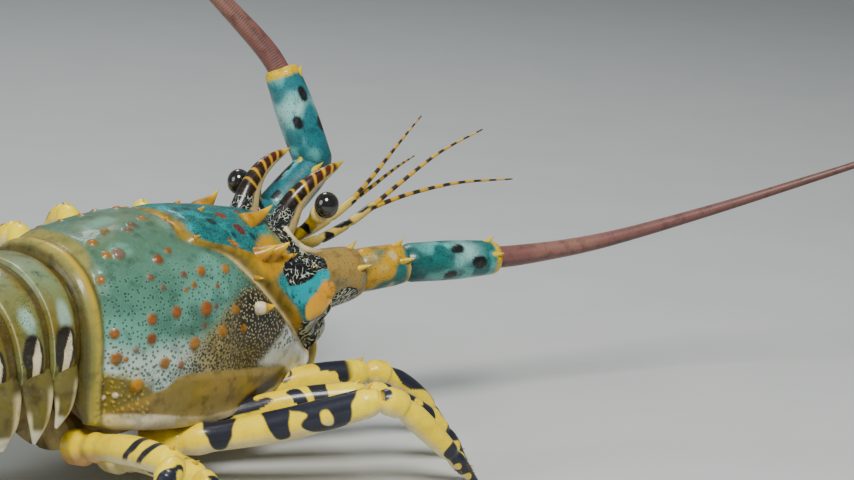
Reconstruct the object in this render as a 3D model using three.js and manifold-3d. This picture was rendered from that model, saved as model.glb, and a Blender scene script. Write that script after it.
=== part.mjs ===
// Ornate spiny lobster, life size, standing still on the tips of its ten walking legs.
// Millimetres. +X points to the head, +Y to the animal's left, +Z up; the floor is z = 0
// and x = 0 is the rear edge of the carapace, until the last lines centre the whole on its box.
// The right antenna reaches forward, the left one is raised and swept back, as the animal holds them.
import * as THREE from "three";
import { mergeVertices } from "three/addons/utils/BufferGeometryUtils.js";
import Module from "manifold-3d";

const wasm = await Module();
wasm.setup();

// Driving sizes
const CARAPACE_LENGTH = 120;
const CARAPACE_HALF_WIDTH = 37.5;
const BACK_HEIGHT = 100;
const SKIRT_HEIGHT = 24;
const FLAGELLUM_RADIUS = 4.5;
const EYE_RADIUS = 5;
const GAP = 0.3;
const FINEST = 0.05;

const vec = (x, y, z) => new THREE.Vector3(x, y, z);

// Shape tools

// Smooth values between rows of [position, value, value, ...]; past the ends they hold still.
function profile(rows) {
  const curves = rows[0].slice(1).map((_, k) =>
    new THREE.SplineCurve(rows.map((row) => new THREE.Vector2(row[0], row[k + 1]))));
  const last = rows.length - 1;
  return (x) => {
    if (x <= rows[0][0]) return rows[0].slice(1);
    if (x >= rows[last][0]) return rows[last].slice(1);
    const i = rows.findIndex((row, k) => k < last && x < rows[k + 1][0]);
    const share = (x - rows[i][0]) / (rows[i + 1][0] - rows[i][0]);
    return curves.map((curve) => curve.getPoint((i + share) / last).y);
  };
}

// A closed skin through rings of equally many points, fanned shut at both ends.
function loft(rings) {
  const n = rings[0].length;
  const points = rings.flat();
  const index = [];
  for (let i = 0; i + 1 < rings.length; i++) {
    for (let j = 0; j < n; j++) {
      const a = i * n + j;
      const b = i * n + ((j + 1) % n);
      index.push(a, b, a + n, b, b + n, a + n);
    }
  }
  const lastRing = (rings.length - 1) * n;
  if (n > 12) {
    for (const ring of [rings[0], rings[rings.length - 1]]) {
      const centre = ring.reduce((sum, p) => sum.add(p), vec(0, 0, 0)).divideScalar(n);
      const start = ring === rings[0] ? 0 : lastRing;
      for (let j = 0; j < n; j++) {
        const edge = [start + j, start + ((j + 1) % n)];
        if (start === 0) edge.reverse();
        index.push(...edge, points.length);
      }
      points.push(centre);
    }
  } else {
    for (let j = 1; j + 1 < n; j++) {
      index.push(0, j + 1, j);
      index.push(lastRing, lastRing + j, lastRing + j + 1);
    }
  }
  const geometry = new THREE.BufferGeometry().setFromPoints(points);
  geometry.setIndex(index);
  return geometry;
}

// A limb along a smooth path: each section is [share of the length, half width, half height].
function limb(path, sections, sides, sideHint = vec(0, 1, 0)) {
  const curve = new THREE.CatmullRomCurve3(path, false, "centripetal");
  return loft(sections.map(([share, width, height]) => {
    const centre = curve.getPointAt(share);
    const along = curve.getTangentAt(share);
    const side = sideHint.clone().addScaledVector(along, -sideHint.dot(along)).normalize();
    const top = side.clone().cross(along);
    return Array.from({ length: sides }, (_, k) => {
      const turn = (2 * Math.PI * (k + 0.5)) / sides;
      return centre.clone()
        .addScaledVector(side, width * Math.cos(turn))
        .addScaledVector(top, height * Math.sin(turn));
    });
  }));
}

// A closed geometry as a solid that faces outwards.
function solid(geometry) {
  const bare = geometry.clone();
  for (const name of Object.keys(bare.attributes)) {
    if (name !== "position") bare.deleteAttribute(name);
  }
  const merged = mergeVertices(bare, 1e-4);
  const position = merged.attributes.position;
  const index = Uint32Array.from(merged.index.array);
  const [a, b, c] = [vec(0, 0, 0), vec(0, 0, 0), vec(0, 0, 0)];
  let volume = 0;
  for (let i = 0; i < index.length; i += 3) {
    a.fromBufferAttribute(position, index[i]);
    b.fromBufferAttribute(position, index[i + 1]);
    c.fromBufferAttribute(position, index[i + 2]);
    volume += a.dot(b.cross(c));
  }
  if (volume < 0) index.reverse();
  return new wasm.Manifold(new wasm.Mesh({
    numProp: 3, vertProperties: Float32Array.from(position.array), triVerts: index,
  }));
}

function geometryOf(body) {
  const { vertProperties, triVerts } = body.getMesh();
  const geometry = new THREE.BufferGeometry();
  geometry.setAttribute("position", new THREE.BufferAttribute(vertProperties.slice(), 3));
  geometry.setIndex(new THREE.BufferAttribute(triVerts.slice(), 1));
  return geometry;
}

const largest = (body) =>
  body.decompose().reduce((best, piece) => (piece.volume() > best.volume() ? piece : best));
const fuse = (geometries) => largest(wasm.Manifold.union(geometries.map(solid)));

// The same solid, a little thicker all round.
function grown(body, by = GAP) {
  const geometry = geometryOf(body);
  geometry.computeVertexNormals();
  const { position, normal } = geometry.attributes;
  for (let i = 0; i < position.count; i++) {
    position.setXYZ(i, position.getX(i) + by * normal.getX(i),
      position.getY(i) + by * normal.getY(i), position.getZ(i) + by * normal.getZ(i));
  }
  return solid(geometry);
}

// The body cut clear of its neighbours, with the gap that touching pieces keep.
const clearOf = (body, ...neighbours) =>
  largest(neighbours.reduce((rest, other) => rest.subtract(grown(other).add(other)), body));

// A spine that curves towards its tip, its root sunk into what carries it.
function spine(root, direction, length, radius, lift = 0.12) {
  const along = direction.clone().normalize();
  const start = root.clone().addScaledVector(along, -0.7 * radius);
  const middle = root.clone().addScaledVector(along, 0.5 * length);
  const tip = root.clone().addScaledVector(along, length).add(vec(0, 0, lift * length));
  const sections = [[0, radius, radius], [0.5, 0.62 * radius, 0.62 * radius], [1, 0.25, 0.25]];
  const hint = Math.abs(along.y) > 0.8 ? vec(1, 0, 0) : vec(0, 1, 0);
  return limb([start, middle, tip], sections, 5, hint);
}

// A low round knob on a surface.
function knob(root, normal, radius, height) {
  const start = root.clone().addScaledVector(normal, -0.8);
  const crown = root.clone().addScaledVector(normal, height);
  const sections = [[0, radius, radius], [1, 0.5 * radius, 0.5 * radius]];
  const hint = Math.abs(normal.y) > 0.8 ? vec(1, 0, 0) : vec(0, 1, 0);
  return limb([start, crown], sections, 5, hint);
}

// Seeded draws, so that every run gives the same animal.
function seeded(seed) {
  let state = seed;
  return (low, high) => {
    state = (state * 1664525 + 1013904223) % 4294967296;
    return low + ((high - low) * state) / 4294967296;
  };
}

// Materials
const finish = (hex, roughness) => new THREE.MeshStandardMaterial({ color: hex, roughness, metalness: 0 });
const shellTeal = finish(0x5fa79f, 0.35);
const shellOlive = finish(0x8b8355, 0.4);
const hornBanded = finish(0x3a2415, 0.35);
const eyeBlack = finish(0x0c0c0e, 0.08);
const antennaBlue = finish(0x2f8ea6, 0.35);
const flagellumPink = finish(0x7d4a4d, 0.5);
const legBanded = finish(0xe2c469, 0.35);
const underPale = finish(0xb9a878, 0.5);

const group = new THREE.Group();
const made = new Map();
function place(name, body, material) {
  const kept = largest(body.asOriginal().simplify(FINEST));
  const mesh = new THREE.Mesh(geometryOf(kept), material);
  mesh.name = name;
  group.add(mesh);
  made.set(name, kept);
  return kept;
}

// Carapace: one shell, parted along the cervical groove into thorax and head

const RIM_WIDTH = 6;
const GROOVE_TOP_X = 57;
const GROOVE_SLOPE = 0.95;
const GROOVE_BEND = 10;
const GROOVE_BEND_HEIGHT = BACK_HEIGHT - 7;
const GROOVE_DEPTH = 2.4;
const FACE_X = CARAPACE_LENGTH;
const WIDEST = 0.62;
const LIP = 3;
const RECESS = 5;

// Rows: distance from the rear edge, half width, back height, skirt height, roundness,
// and how far the skirt tucks in below the widest level
const carapaceAt = profile([
  [0, CARAPACE_HALF_WIDTH - 4, BACK_HEIGHT - 7, SKIRT_HEIGHT + 10.5, 2.3, 1],
  [12, CARAPACE_HALF_WIDTH - 2, BACK_HEIGHT - 3, SKIRT_HEIGHT + 6.5, 2.3, 2],
  [35, CARAPACE_HALF_WIDTH, BACK_HEIGHT, SKIRT_HEIGHT + 2, 2.3, 3],
  [60, CARAPACE_HALF_WIDTH, BACK_HEIGHT, SKIRT_HEIGHT - 0.5, 2.3, 4],
  [80, CARAPACE_HALF_WIDTH - 1.5, BACK_HEIGHT - 2, SKIRT_HEIGHT, 2.2, 5],
  [100, CARAPACE_HALF_WIDTH - 4.5, BACK_HEIGHT - 5.5, SKIRT_HEIGHT + 5, 2, 5],
  [112, CARAPACE_HALF_WIDTH - 7, BACK_HEIGHT - 9, SKIRT_HEIGHT + 9, 1.9, 4],
  [124, CARAPACE_HALF_WIDTH - 10, BACK_HEIGHT - 15, SKIRT_HEIGHT + 12, 1.8, 3],
]);
const grooveX = (z) => GROOVE_TOP_X + (BACK_HEIGHT - z) * GROOVE_SLOPE
  - GROOVE_BEND * Math.exp(-(((z - GROOVE_BEND_HEIGHT) / 5) ** 2));

// The point at x, where girth runs from 0 on the back's midline to 1 at the skirt's edge.
function shellPoint(x, girth, side) {
  const [half, top, low, roundness, tuck] = carapaceAt(x);
  const waist = low + 0.45 * (top - low);
  let y;
  let z;
  if (girth <= WIDEST) {
    const turn = (Math.PI / 2) * (1 - girth / WIDEST);
    y = half * Math.cos(turn) ** (2 / roundness);
    z = waist + (top - waist) * Math.sin(turn) ** (2 / roundness);
  } else {
    const down = (girth - WIDEST) / (1 - WIDEST);
    y = half - tuck * down * down;
    z = waist - (waist - low) * down;
  }
  const fromGroove = (x - grooveX(z)) / Math.hypot(1, GROOVE_SLOPE);
  const fade = THREE.MathUtils.clamp((1 - girth) / 0.12, 0, 1);
  const groove = GROOVE_DEPTH * Math.exp(-((fromGroove / 2.6) ** 2)) * fade;
  const rim = 1.3 * Math.exp(-(((x - RIM_WIDTH - 2) / 2.2) ** 2)) * fade;
  const shrink = 1 - (groove + rim) / half;
  return vec(x, side * y * shrink, waist + (z - waist) * shrink);
}

function shellNormal(x, girth, side) {
  const here = shellPoint(x, girth, side);
  const ahead = shellPoint(x + 0.5, girth, side).sub(here);
  const around = shellPoint(x, girth + 0.01, side).sub(here);
  const normal = ahead.cross(around).normalize();
  return normal.dot(vec(0, here.y, here.z - 60)) < 0 ? normal.negate() : normal;
}

function girthAtHeight(x, z) {
  let [low, high] = [0, 1];
  for (let i = 0; i < 20; i++) {
    const middle = (low + high) / 2;
    if (shellPoint(x, middle, 1).z > z) low = middle;
    else high = middle;
  }
  return low;
}

// One ring round the body; xAt gives the ring's x at each height, so that rings can lean.
function shellRing(xAt) {
  const girths = [0, 0.1, 0.2, 0.3, 0.4, 0.5, 0.62, 0.75, 0.88, 1];
  const half = (side) => {
    const outer = girths.map((girth) => {
      let x = xAt(60);
      for (let i = 0; i < 6; i++) x = xAt(shellPoint(x, girth, side).z);
      return shellPoint(x, girth, side);
    });
    const edge = outer[outer.length - 1];
    const inner = vec(edge.x, edge.y - side * LIP, edge.z + 1.5);
    const under = vec(xAt(edge.z + RECESS), 0.5 * edge.y, edge.z + RECESS);
    return [...outer, inner, under];
  };
  const right = half(-1);
  const left = half(1).slice(1).reverse();
  return [...right, ...left];
}

const thoraxShares = [0, 0.06, 0.1, 0.15, 0.28, 0.45, 0.65, 0.85, 0.94, 1];
const thoraxRings = thoraxShares.map((share) =>
  shellRing((z) => share * (grooveX(z) - GAP * Math.hypot(1, GROOVE_SLOPE))));
const headSteps = [0, 4, 10, 20, 32, 46, 66];
const headRings = headSteps.map((step) =>
  shellRing((z) => grooveX(z) + GAP * Math.hypot(1, GROOVE_SLOPE) + step));

// Orange knobs of the flank at [distance from the rear, height, radius], and smaller rows on the back
const flankKnobs = [
  [26, 70, 1.9], [37, 71, 2], [51, 70, 2.4], [10.5, 67, 1.7], [25.5, 63, 1.9], [11, 58, 2.1],
  [31.5, 53, 2], [45, 58, 2.3], [59, 60, 1.9], [66, 67, 1.6], [70, 59, 1.5], [20, 46.5, 2.1],
  [52, 83, 1.8], [64, 82, 1.7], [35, 89, 1.8], [43.5, 83, 1.3], [16.5, 92, 1.5], [39, 51, 1.4],
];
const knobs = [];
for (const side of [-1, 1]) {
  for (const [x, z, radius] of flankKnobs) {
    const girth = girthAtHeight(x, z);
    knobs.push(knob(shellPoint(x, girth, side), shellNormal(x, girth, side), radius, 0.9));
  }
}
const draw = seeded(7);
for (let row = 0; row < 4; row++) {
  for (const side of [-1, 1]) {
    const x = 18 + 11 * row + draw(-2, 2);
    const girth = 0.1 + draw(-0.03, 0.05);
    knobs.push(knob(shellPoint(x, girth, side), shellNormal(x, girth, side), draw(1.2, 1.8), 0.8));
  }
}

// A forward-leaning spine on the shell at [distance, girth, length, radius], on both sides.
function shellSpines(rows) {
  return rows.flatMap(([x, girth, length, radius]) => [-1, 1].map((side) => {
    const direction = shellNormal(x, girth, side).add(vec(1.1, 0, 0));
    return spine(shellPoint(x, girth, side), direction, length, radius);
  }));
}
const thoraxSpines = shellSpines([[80, 0.545, 5.5, 2.4], [52, 0.1, 3.2, 1.5], [58, 0.24, 3, 1.4]]);
const headSpines = shellSpines([
  [95, 0.26, 9, 3.2], [97, 0.42, 6.5, 2.8], [91, 0.46, 4.5, 2.2], [108, 0.5, 5, 2.2],
  [82, 0.17, 4, 1.7], [86, 0.36, 3, 1.4], [104, 0.12, 3.2, 1.3], [74, 0.06, 3, 1.4],
  [112, 0.62, 4, 1.8],
]);

const thorax = place("thorax_shield", fuse([loft(thoraxRings), ...knobs, ...thoraxSpines]), shellTeal);
const facePlane = fuse([loft(headRings), ...headSpines]).trimByPlane([-1, 0, 0], -FACE_X);
const head = place("head_shield", largest(facePlane), shellTeal);

// Underside plate between the legs
const sternumRows = [[3, 20, 9], [30, 19, 9], [60, 16, 8.5], [90, 13, 8], [106, 10.5, 6.5]];
const sternumPath = [vec(3, 0, 26), vec(50, 0, 26), vec(106, 0, 29)];
const sternumLength = 103;
const sternum = place("sternum_plate", clearOf(solid(limb(sternumPath,
  sternumRows.map(([x, width, height]) => [(x - 3) / sternumLength, width, height]), 12)), thorax, head),
underPale);

// Frontal horns, curved up and forward over the eyes
const HORN_SPREAD = 12;
const horns = [-1, 1].map((side) => {
  const path = [[108, -1.5, 80], [113, -0.5, 89], [117.5, 1, 97.5], [123.5, 2.6, 103.5],
    [131, 3.6, 107.6], [141.5, 3.6, 111.5]].map(([x, out, z]) => vec(x, side * (HORN_SPREAD + out), z));
  const sections = [[0, 4.4, 7], [0.2, 4.7, 6.8], [0.4, 4.1, 5], [0.58, 3.3, 3.8], [0.75, 2.5, 2.8],
    [0.9, 1.4, 1.6], [1, 0.3, 0.4]];
  const root = solid(limb(path, sections, 10));
  return place(side < 0 ? "frontal_horn_right" : "frontal_horn_left", clearOf(root, head), hornBanded);
});

// Face: plate under the eyes, plate over the mouth, and the jaws
const browPlate = place("antennular_plate", clearOf(fuse([
  limb([vec(114, 0, 70), vec(122, 0, 70), vec(130, 0, 73)], [[0, 8, 12], [0.6, 7.5, 10.5], [1, 5.5, 6]], 10),
  ...[-1, 1].flatMap((side) => [
    spine(vec(127, side * 3.4, 77), vec(1, side * 0.15, 0.75), 6, 1.4),
    spine(vec(128, side * 3.2, 70), vec(1, side * 0.15, 0.35), 4.5, 1.1),
  ]),
]), head, ...horns), antennaBlue);
const plateGap = thorax.translate([GAP, 0, 0]).add(thorax.translate([0, 0, -GAP]));
const mouthPlate = place("mouth_plate", clearOf(fuse([
  limb([vec(108, 0, 47), vec(120, 0, 47), vec(134, 0, 45)],
    [[0, 25, 13], [0.5, 26.5, 13], [0.8, 22, 10.5], [1, 12, 6]], 14),
  ...[-1, 1].map((side) => spine(vec(131, side * 11, 46), vec(1, side * 0.4, -0.1), 4.5, 1.6)),
]).subtract(plateGap), head, thorax, sternum, browPlate), shellTeal);
const jaws = place("jaws", clearOf(solid(limb([vec(106, 0, 33), vec(118, 0, 30), vec(128, 0, 32)],
  [[0, 7, 5], [0.5, 8.5, 6.5], [0.85, 6.5, 5], [1, 3, 2.5]], 10)), mouthPlate, sternum, thorax, head), underPale);

// Eyes on short stalks that come out below the horns
const stalks = [-1, 1].map((side) => {
  const path = [[119, 5, 80], [124.5, 11, 83.5], [124.5, 18, 90], [123.5, 22, 94]]
    .map(([x, out, z]) => vec(x, side * out, z));
  const body = solid(limb(path, [[0, 3, 3], [0.4, 2.6, 2.6], [0.75, 2.9, 2.9], [1, 3.9, 3.9]], 8, vec(1, 0, 0)));
  const name = side < 0 ? "eyestalk_right" : "eyestalk_left";
  return place(name, clearOf(body, head, browPlate, ...horns), legBanded);
});
[-1, 1].forEach((side, i) => {
  const ball = new THREE.SphereGeometry(EYE_RADIUS, 14, 10);
  ball.scale(1, 0.95, 1.08);
  ball.translate(123, side * 25.5, 97.5);
  place(side < 0 ? "eye_right" : "eye_left", clearOf(solid(ball), stalks[i], head, ...horns), eyeBlack);
});

// Antennae: three thick joints, then the long whip in two lengths.
// Each joint's sections are [share, half width, half height].
const antennaSections = {
  base: [[0, 9.5, 12], [0.35, 10.5, 12.5], [0.75, 10, 11.5], [0.94, 9, 10], [1, 7.5, 8]],
  middle: [[0, 6.5, 7], [0.2, 8.2, 9], [0.7, 8, 8.6], [0.92, 7.6, 8], [1, 6, 6.2]],
  outer: [[0, 6, 6], [0.12, 8.4, 8], [0.5, 9, 8.2], [0.85, 8.2, 7.4], [0.96, 7.6, 7], [1, 6, 6]],
};
const antennaRoutes = {
  right: {
    joints: [[110, -19.5, 65], [141, -27, 68.5], [162, -33.5, 70], [205, -45, 68.5]],
    whip: [[200, -43.7, 68.6], [214, -48, 68.5], [250, -62, 72], [296, -86, 84], [338, -119, 102],
      [374, -160, 124], [402, -208, 148]],
  },
  left: {
    joints: [[110, 19.5, 66], [138, 21, 83], [161, 20, 101], [153, 35, 141]],
    whip: [[154, 34, 137], [149.5, 39, 147], [134, 50, 167], [104, 72, 203], [62, 103, 243],
      [8, 140, 280], [-54, 180, 311]],
  },
};
const whipRadii = [[0, 1], [0.04, 1], [0.12, 0.86], [0.25, 0.67], [0.45, 0.47], [0.7, 0.29], [1, 0.13]];
const whipRadius = profile(whipRadii);
const WHIP_PARTING = 0.42;

function whipLength(curve, from, to) {
  const steps = 11;
  const sections = Array.from({ length: steps + 1 }, (_, i) => {
    const share = from + ((to - from) * i) / steps;
    const radius = FLAGELLUM_RADIUS * whipRadius(share)[0];
    return [i / steps, radius, radius];
  });
  const points = sections.map(([share]) => curve.getPointAt(from + (to - from) * share));
  return solid(limb(points, sections, 7, vec(0, 0, 1)));
}

for (const [name, { joints, whip }] of Object.entries(antennaRoutes)) {
  const side = name === "right" ? -1 : 1;
  const points = joints.map((p) => vec(...p));
  const spans = ["base", "middle", "outer"];
  let before = [head, mouthPlate, browPlate, thorax, ...stalks, ...horns];
  spans.forEach((span, i) => {
    const from = points[i];
    const to = points[i + 1];
    const along = to.clone().sub(from).normalize();
    const start = from.clone().addScaledVector(along, i === 0 ? 0 : -3);
    const parts = [limb([start, from.clone().lerp(to, 0.5), to], antennaSections[span], 12)];
    const [, wide, tall] = antennaSections[span][antennaSections[span].length - 2];
    const outward = vec(0, side, 0).addScaledVector(along, -side * along.y).normalize();
    const top = along.clone().cross(outward).multiplyScalar(side);
    const skyward = top.z < 0 ? top.negate() : top;
    for (const turn of [25, 90, 150]) {
      const angle = (turn * Math.PI) / 180;
      const away = outward.clone().multiplyScalar(Math.cos(angle)).addScaledVector(skyward, Math.sin(angle));
      const root = to.clone().addScaledVector(along, -5)
        .addScaledVector(outward, 0.9 * wide * Math.cos(angle))
        .addScaledVector(skyward, 0.9 * tall * Math.sin(angle));
      parts.push(spine(root, away.addScaledVector(along, 1.3), 6.5 - i, 1.9, 0));
    }
    const body = clearOf(fuse(parts), ...before);
    place("antenna_" + span + "_" + name, body, antennaBlue);
    before = i === 0 ? [body, head, ...horns, ...stalks] : [body];
  });
  const curve = new THREE.CatmullRomCurve3(whip.map((p) => vec(...p)), false, "centripetal");
  const near = clearOf(whipLength(curve, 0, WHIP_PARTING), ...before);
  place("antenna_whip_near_" + name, near, flagellumPink);
  const far = clearOf(whipLength(curve, WHIP_PARTING - 0.004, 1), near);
  place("antenna_whip_far_" + name, far, flagellumPink);
}

// Antennules: a slender jointed stem, then two short whips
for (const side of [-1, 1]) {
  const name = side < 0 ? "right" : "left";
  const stemPath = [[124, 4, 75], [140, 5, 77], [156, 5.5, 81.5], [171, 6, 88]].map(([x, y, z]) => vec(x, side * y, z));
  const stem = clearOf(solid(limb(stemPath, [[0, 2.4, 2.4], [0.3, 2.5, 2.5], [0.34, 2, 2], [0.38, 2.3, 2.3],
    [0.64, 2.1, 2.1], [0.68, 1.7, 1.7], [0.72, 2, 2], [1, 1.8, 1.8]], 8)), browPlate, mouthPlate, head,
  made.get("antenna_base_" + name), made.get("antenna_middle_" + name), ...stalks);
  place("antennule_stem_" + name, stem, legBanded);
  const whipSections = [[0, 1.1, 1.1], [0.3, 0.9, 0.9], [0.65, 0.65, 0.65], [1, 0.3, 0.3]];
  const whips = [
    [[168, 6, 86.5], [184, 8, 96], [204, 12, 108], [224, 18, 117]],
    [[168, 6, 86.5], [186, 10, 91], [209, 18, 95], [233, 29, 96]],
  ].map((path) => limb(path.map(([x, y, z]) => vec(x, side * y, z)), whipSections, 6));
  place("antennule_whips_" + name, clearOf(fuse(whips), stem, made.get("antenna_outer_" + name)), legBanded);
}

// Outer feeding legs, folded up over the jaws
for (const side of [-1, 1]) {
  const path = [[92, 10, 22], [108, 11.5, 19], [124, 11, 22], [135, 9, 30], [137, 7.5, 38]]
    .map(([x, y, z]) => vec(x, side * y, z));
  const body = solid(limb(path, [[0, 3.5, 4.5], [0.2, 3.6, 4.6], [0.5, 3.4, 4.2], [0.56, 2.8, 3.2],
    [0.75, 2.9, 3.2], [0.79, 2.2, 2.4], [1, 1, 1.2]], 8));
  place(side < 0 ? "feeding_leg_right" : "feeding_leg_left",
    clearOf(body, sternum, jaws, mouthPlate, thorax, head), legBanded);
}

// Walking legs: each has a thigh, up to the knee, and a shin, down to a small flat at the floor.
// Rows: root, knee, ankle and tip for each side; the last value scales the thickness.
const walkingLegs = [
  { girth: 1.02, right: [[78, -16, 20], [133, -42, 31], [159, -50, 16], [171, -53, -0.8]],
    left: [[78, 16, 20], [110, 71, 80], [134, 98, 24], [141, 106, -0.8]] },
  { girth: 1.02, right: [[57, -18, 17], [112, -62, 31], [141, -74, 16], [154, -79, -0.8]],
    left: [[57, 18, 18], [77, 80, 81], [86, 118, 25], [90, 129, -0.8]] },
  { girth: 1.04, right: [[37, -20, 15], [95.5, -85, 38.5], [121, -93, 19], [139, -98, -0.8]],
    left: [[38, 20, 18], [53, 81, 76], [50, 121, 26], [48, 134, -0.8]] },
  { girth: 0.96, right: [[21, -21, 16], [13, -79, 25], [8, -98, 12], [6, -106, -0.8]],
    left: [[21, 21, 18], [17, 82, 62], [4, 120, 25], [-1, 132, -0.8]] },
  { girth: 0.92, right: [[5, -20, 22], [-1, -83, 35], [-30, -97, 18], [-42, -103, -0.8]],
    left: [[5, 20, 20], [-28, 72, 52], [-52, 102, 22], [-60, 112, -0.8]] },
];
const thighSections = [[0, 6.6, 7.2], [0.1, 6.8, 7.4], [0.17, 5, 5.4], [0.23, 5.4, 6], [0.3, 4.8, 5.4],
  [0.6, 5.2, 6], [0.94, 5.2, 5.6], [1, 3.6, 4]];
const shinSections = [[0, 3.4, 3.6], [0.07, 5, 5.3], [0.15, 4.9, 5.2], [0.19, 3.8, 4], [0.3, 4.2, 4.7],
  [0.66, 3.3, 3.6], [0.71, 2.6, 2.8], [0.76, 2.9, 3.1], [1, 1.1, 1.2]];
const KNEE_RISE = [3, 2, -2.5, 2, 2];

walkingLegs.forEach((pair, i) => {
  for (const name of ["right", "left"]) {
    const [root, knee, ankle, tip] = pair[name].map((p) => vec(...p));
    const across = knee.clone().sub(root).setZ(0).normalize().cross(vec(0, 0, 1));
    const scaled = (rows) => rows.map(([share, width, height]) => [share, width * pair.girth, height * pair.girth]);
    const middle = root.clone().lerp(knee, 0.55).add(vec(0, 0, name === "left" ? 4 : KNEE_RISE[i]));
    const along = knee.clone().sub(root).normalize();
    const thighParts = [limb([root, middle, knee], scaled(thighSections), 8, across)];
    const spineRoot = root.clone().lerp(knee, 0.93).add(vec(0, 0, 4.6 * pair.girth));
    thighParts.push(spine(spineRoot, along.clone().add(vec(0, 0, 0.7)), 4.5, 1.6, 0));
    const thigh = clearOf(fuse(thighParts), sternum, thorax, head, made.get("feeding_leg_" + name));
    place("leg_" + (i + 1) + "_thigh_" + name, thigh, legBanded);
    const outward = ankle.clone().sub(knee).setZ(0).normalize();
    const wrist = knee.clone().lerp(ankle, 0.22).addScaledVector(outward, 2).add(vec(0, 0, 1.5));
    const shin = solid(limb([knee, wrist, ankle, tip], scaled(shinSections), 8, across))
      .trimByPlane([0, 0, 1], 0);
    place("leg_" + (i + 1) + "_shin_" + name, clearOf(largest(shin), thigh), legBanded);
  }
});

// Abdomen: six rings that hinge down towards the tail fan.
// Rows: x, back height, half width, rise to the back, drop to the belly
const tailJoints = [
  [-GAP, 91, 31, 26, 16], [-15, 91, 31, 26, 16], [-32, 89, 30.5, 25, 15], [-52, 84.5, 29.5, 23, 14],
  [-73, 77, 27.5, 21, 13], [-94, 66, 25, 18.5, 12], [-116, 51, 21, 14, 9],
];
const tailAt = profile(tailJoints.map((row, i) => [i, ...row]));
function tailFrame(at) {
  const [x, top, half, rise, drop] = tailAt(at);
  const ahead = tailAt(Math.max(at - 0.3, 0));
  const behind = tailAt(Math.min(at + 0.3, 6));
  const forward = vec(ahead[0] - behind[0], 0, ahead[1] - behind[1]).normalize();
  if (at < 0.02) forward.set(1, 0, 0);
  const upward = vec(-forward.z, 0, forward.x);
  const centre = vec(x, 0, top).addScaledVector(upward, -rise);
  return { centre, forward, upward, half, rise, drop };
}
// A point by its place along, across and up from the middle of the tail at that joint.
function tailPoint(at, back, across, up) {
  const { centre, forward, upward } = tailFrame(at);
  return centre.clone().addScaledVector(forward, -back).addScaledVector(upward, up).add(vec(0, across, 0));
}
function tailRing(at, swell, back = 0) {
  const { half, rise, drop } = tailFrame(at);
  const turns = [90, 74, 58, 42, 26, 10, -6];
  const side = (sign) => [
    ...turns.map((turn) => {
      const angle = (turn * Math.PI) / 180;
      const across = half * Math.cos(angle) ** 0.9;
      const up = turn > 0 ? rise * Math.sin(angle) ** 0.9 : -0.25 * drop;
      return tailPoint(at, back, sign * across * swell, up * swell);
    }),
    tailPoint(at, back, sign * (half - 2.5) * swell, -0.85 * drop),
    tailPoint(at, back, sign * (half - 8) * swell, -drop),
    tailPoint(at, back, sign * 0.4 * half, -drop + 1.5),
  ];
  return [...side(-1), ...side(1).slice(1).reverse()];
}

const PLEURON_BREADTH = [11, 13, 17, 18, 18, 16];
const PLEURON_LENGTH = [14, 18, 18, 16, 13, 8];
for (let i = 0; i < 6; i++) {
  const steps = [[0, 0.955, GAP], [0.16, 0.965, 0], [0.32, 1, 0], [0.92, 1.012, 0], [1, 1.008, -GAP]];
  const parts = [loft(steps.map(([share, swell, back]) => tailRing(i + share, swell, back)))];
  const { half, drop } = tailFrame(i + 0.5);
  const reach = PLEURON_LENGTH[i];
  for (const side of [-1, 1]) {
    const path = [[-1, half - 5, -0.1 * drop], [0, half - 1.4, -0.75 * drop],
      [1, half - 0.6, -drop - 0.45 * reach], [3.5, half - 1.5, -drop - reach]]
      .map(([back, out, upTo]) => tailPoint(i + 0.5, back, side * out, upTo));
    const broad = Math.min(1, PLEURON_BREADTH[i] / 18);
    parts.push(limb(path, [[0, 2, 8], [0.35, 2, 9], [0.7, 1.6, 6.5], [0.9, 1, 3], [1, 0.5, 0.9]]
      .map(([share, thick, wide]) => [share, thick, wide * broad]), 8));
    if (i > 0 && i < 5) {
      const flap = [[0, 0.45 * half, -drop + 3], [2, 0.5 * half, -drop - 4],
        [6, 0.52 * half, -drop - 10], [10, 0.5 * half, -drop - 14]]
        .map(([back, out, upTo]) => tailPoint(i + 0.5, back, side * out, upTo));
      parts.push(limb(flap, [[0, 2.5, 1.2], [0.3, 4.5, 0.8], [0.7, 5.5, 0.6], [1, 2, 0.4]], 8));
    }
  }
  place("abdomen_" + (i + 1), fuse(parts), shellOlive);
}

// Tail fan: the telson over the inner blades, those over the outer ones
const FAN_LENGTH = 56;
function blade(root, heading, pitch, roll, length, halfWidths, thickness) {
  const [turn, drop] = [heading, pitch].map(THREE.MathUtils.degToRad);
  const along = vec(-Math.cos(turn) * Math.cos(drop), Math.sin(turn) * Math.cos(drop), -Math.sin(drop));
  const sideways = vec(-along.y, along.x, 0).normalize().applyAxisAngle(along, THREE.MathUtils.degToRad(roll));
  const path = [0, 0.5, 1].map((share) => root.clone().addScaledVector(along, length * share)
    .add(vec(0, 0, -3 * share * share)));
  const last = halfWidths.length - 1;
  return limb(path, halfWidths.map((width, i) =>
    [i / last, width, thickness * (1.15 - (0.75 * i) / last + 1.9 * Math.exp(-i))]), 12, sideways);
}
const telsonWidths = [10.5, 12, 13, 13.8, 14.4, 15, 15.2, 14.6, 12.5, 6.5];
const bladeWidths = [5, 7.2, 9.5, 11.5, 12.8, 13.6, 13.8, 13.2, 11, 5.5];
const sixth = made.get("abdomen_6");
const telson = place("telson", clearOf(solid(blade(vec(-108, 0, 44), 0, 26, 0, FAN_LENGTH + 2,
  telsonWidths, 1.9)), sixth), shellOlive);
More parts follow.
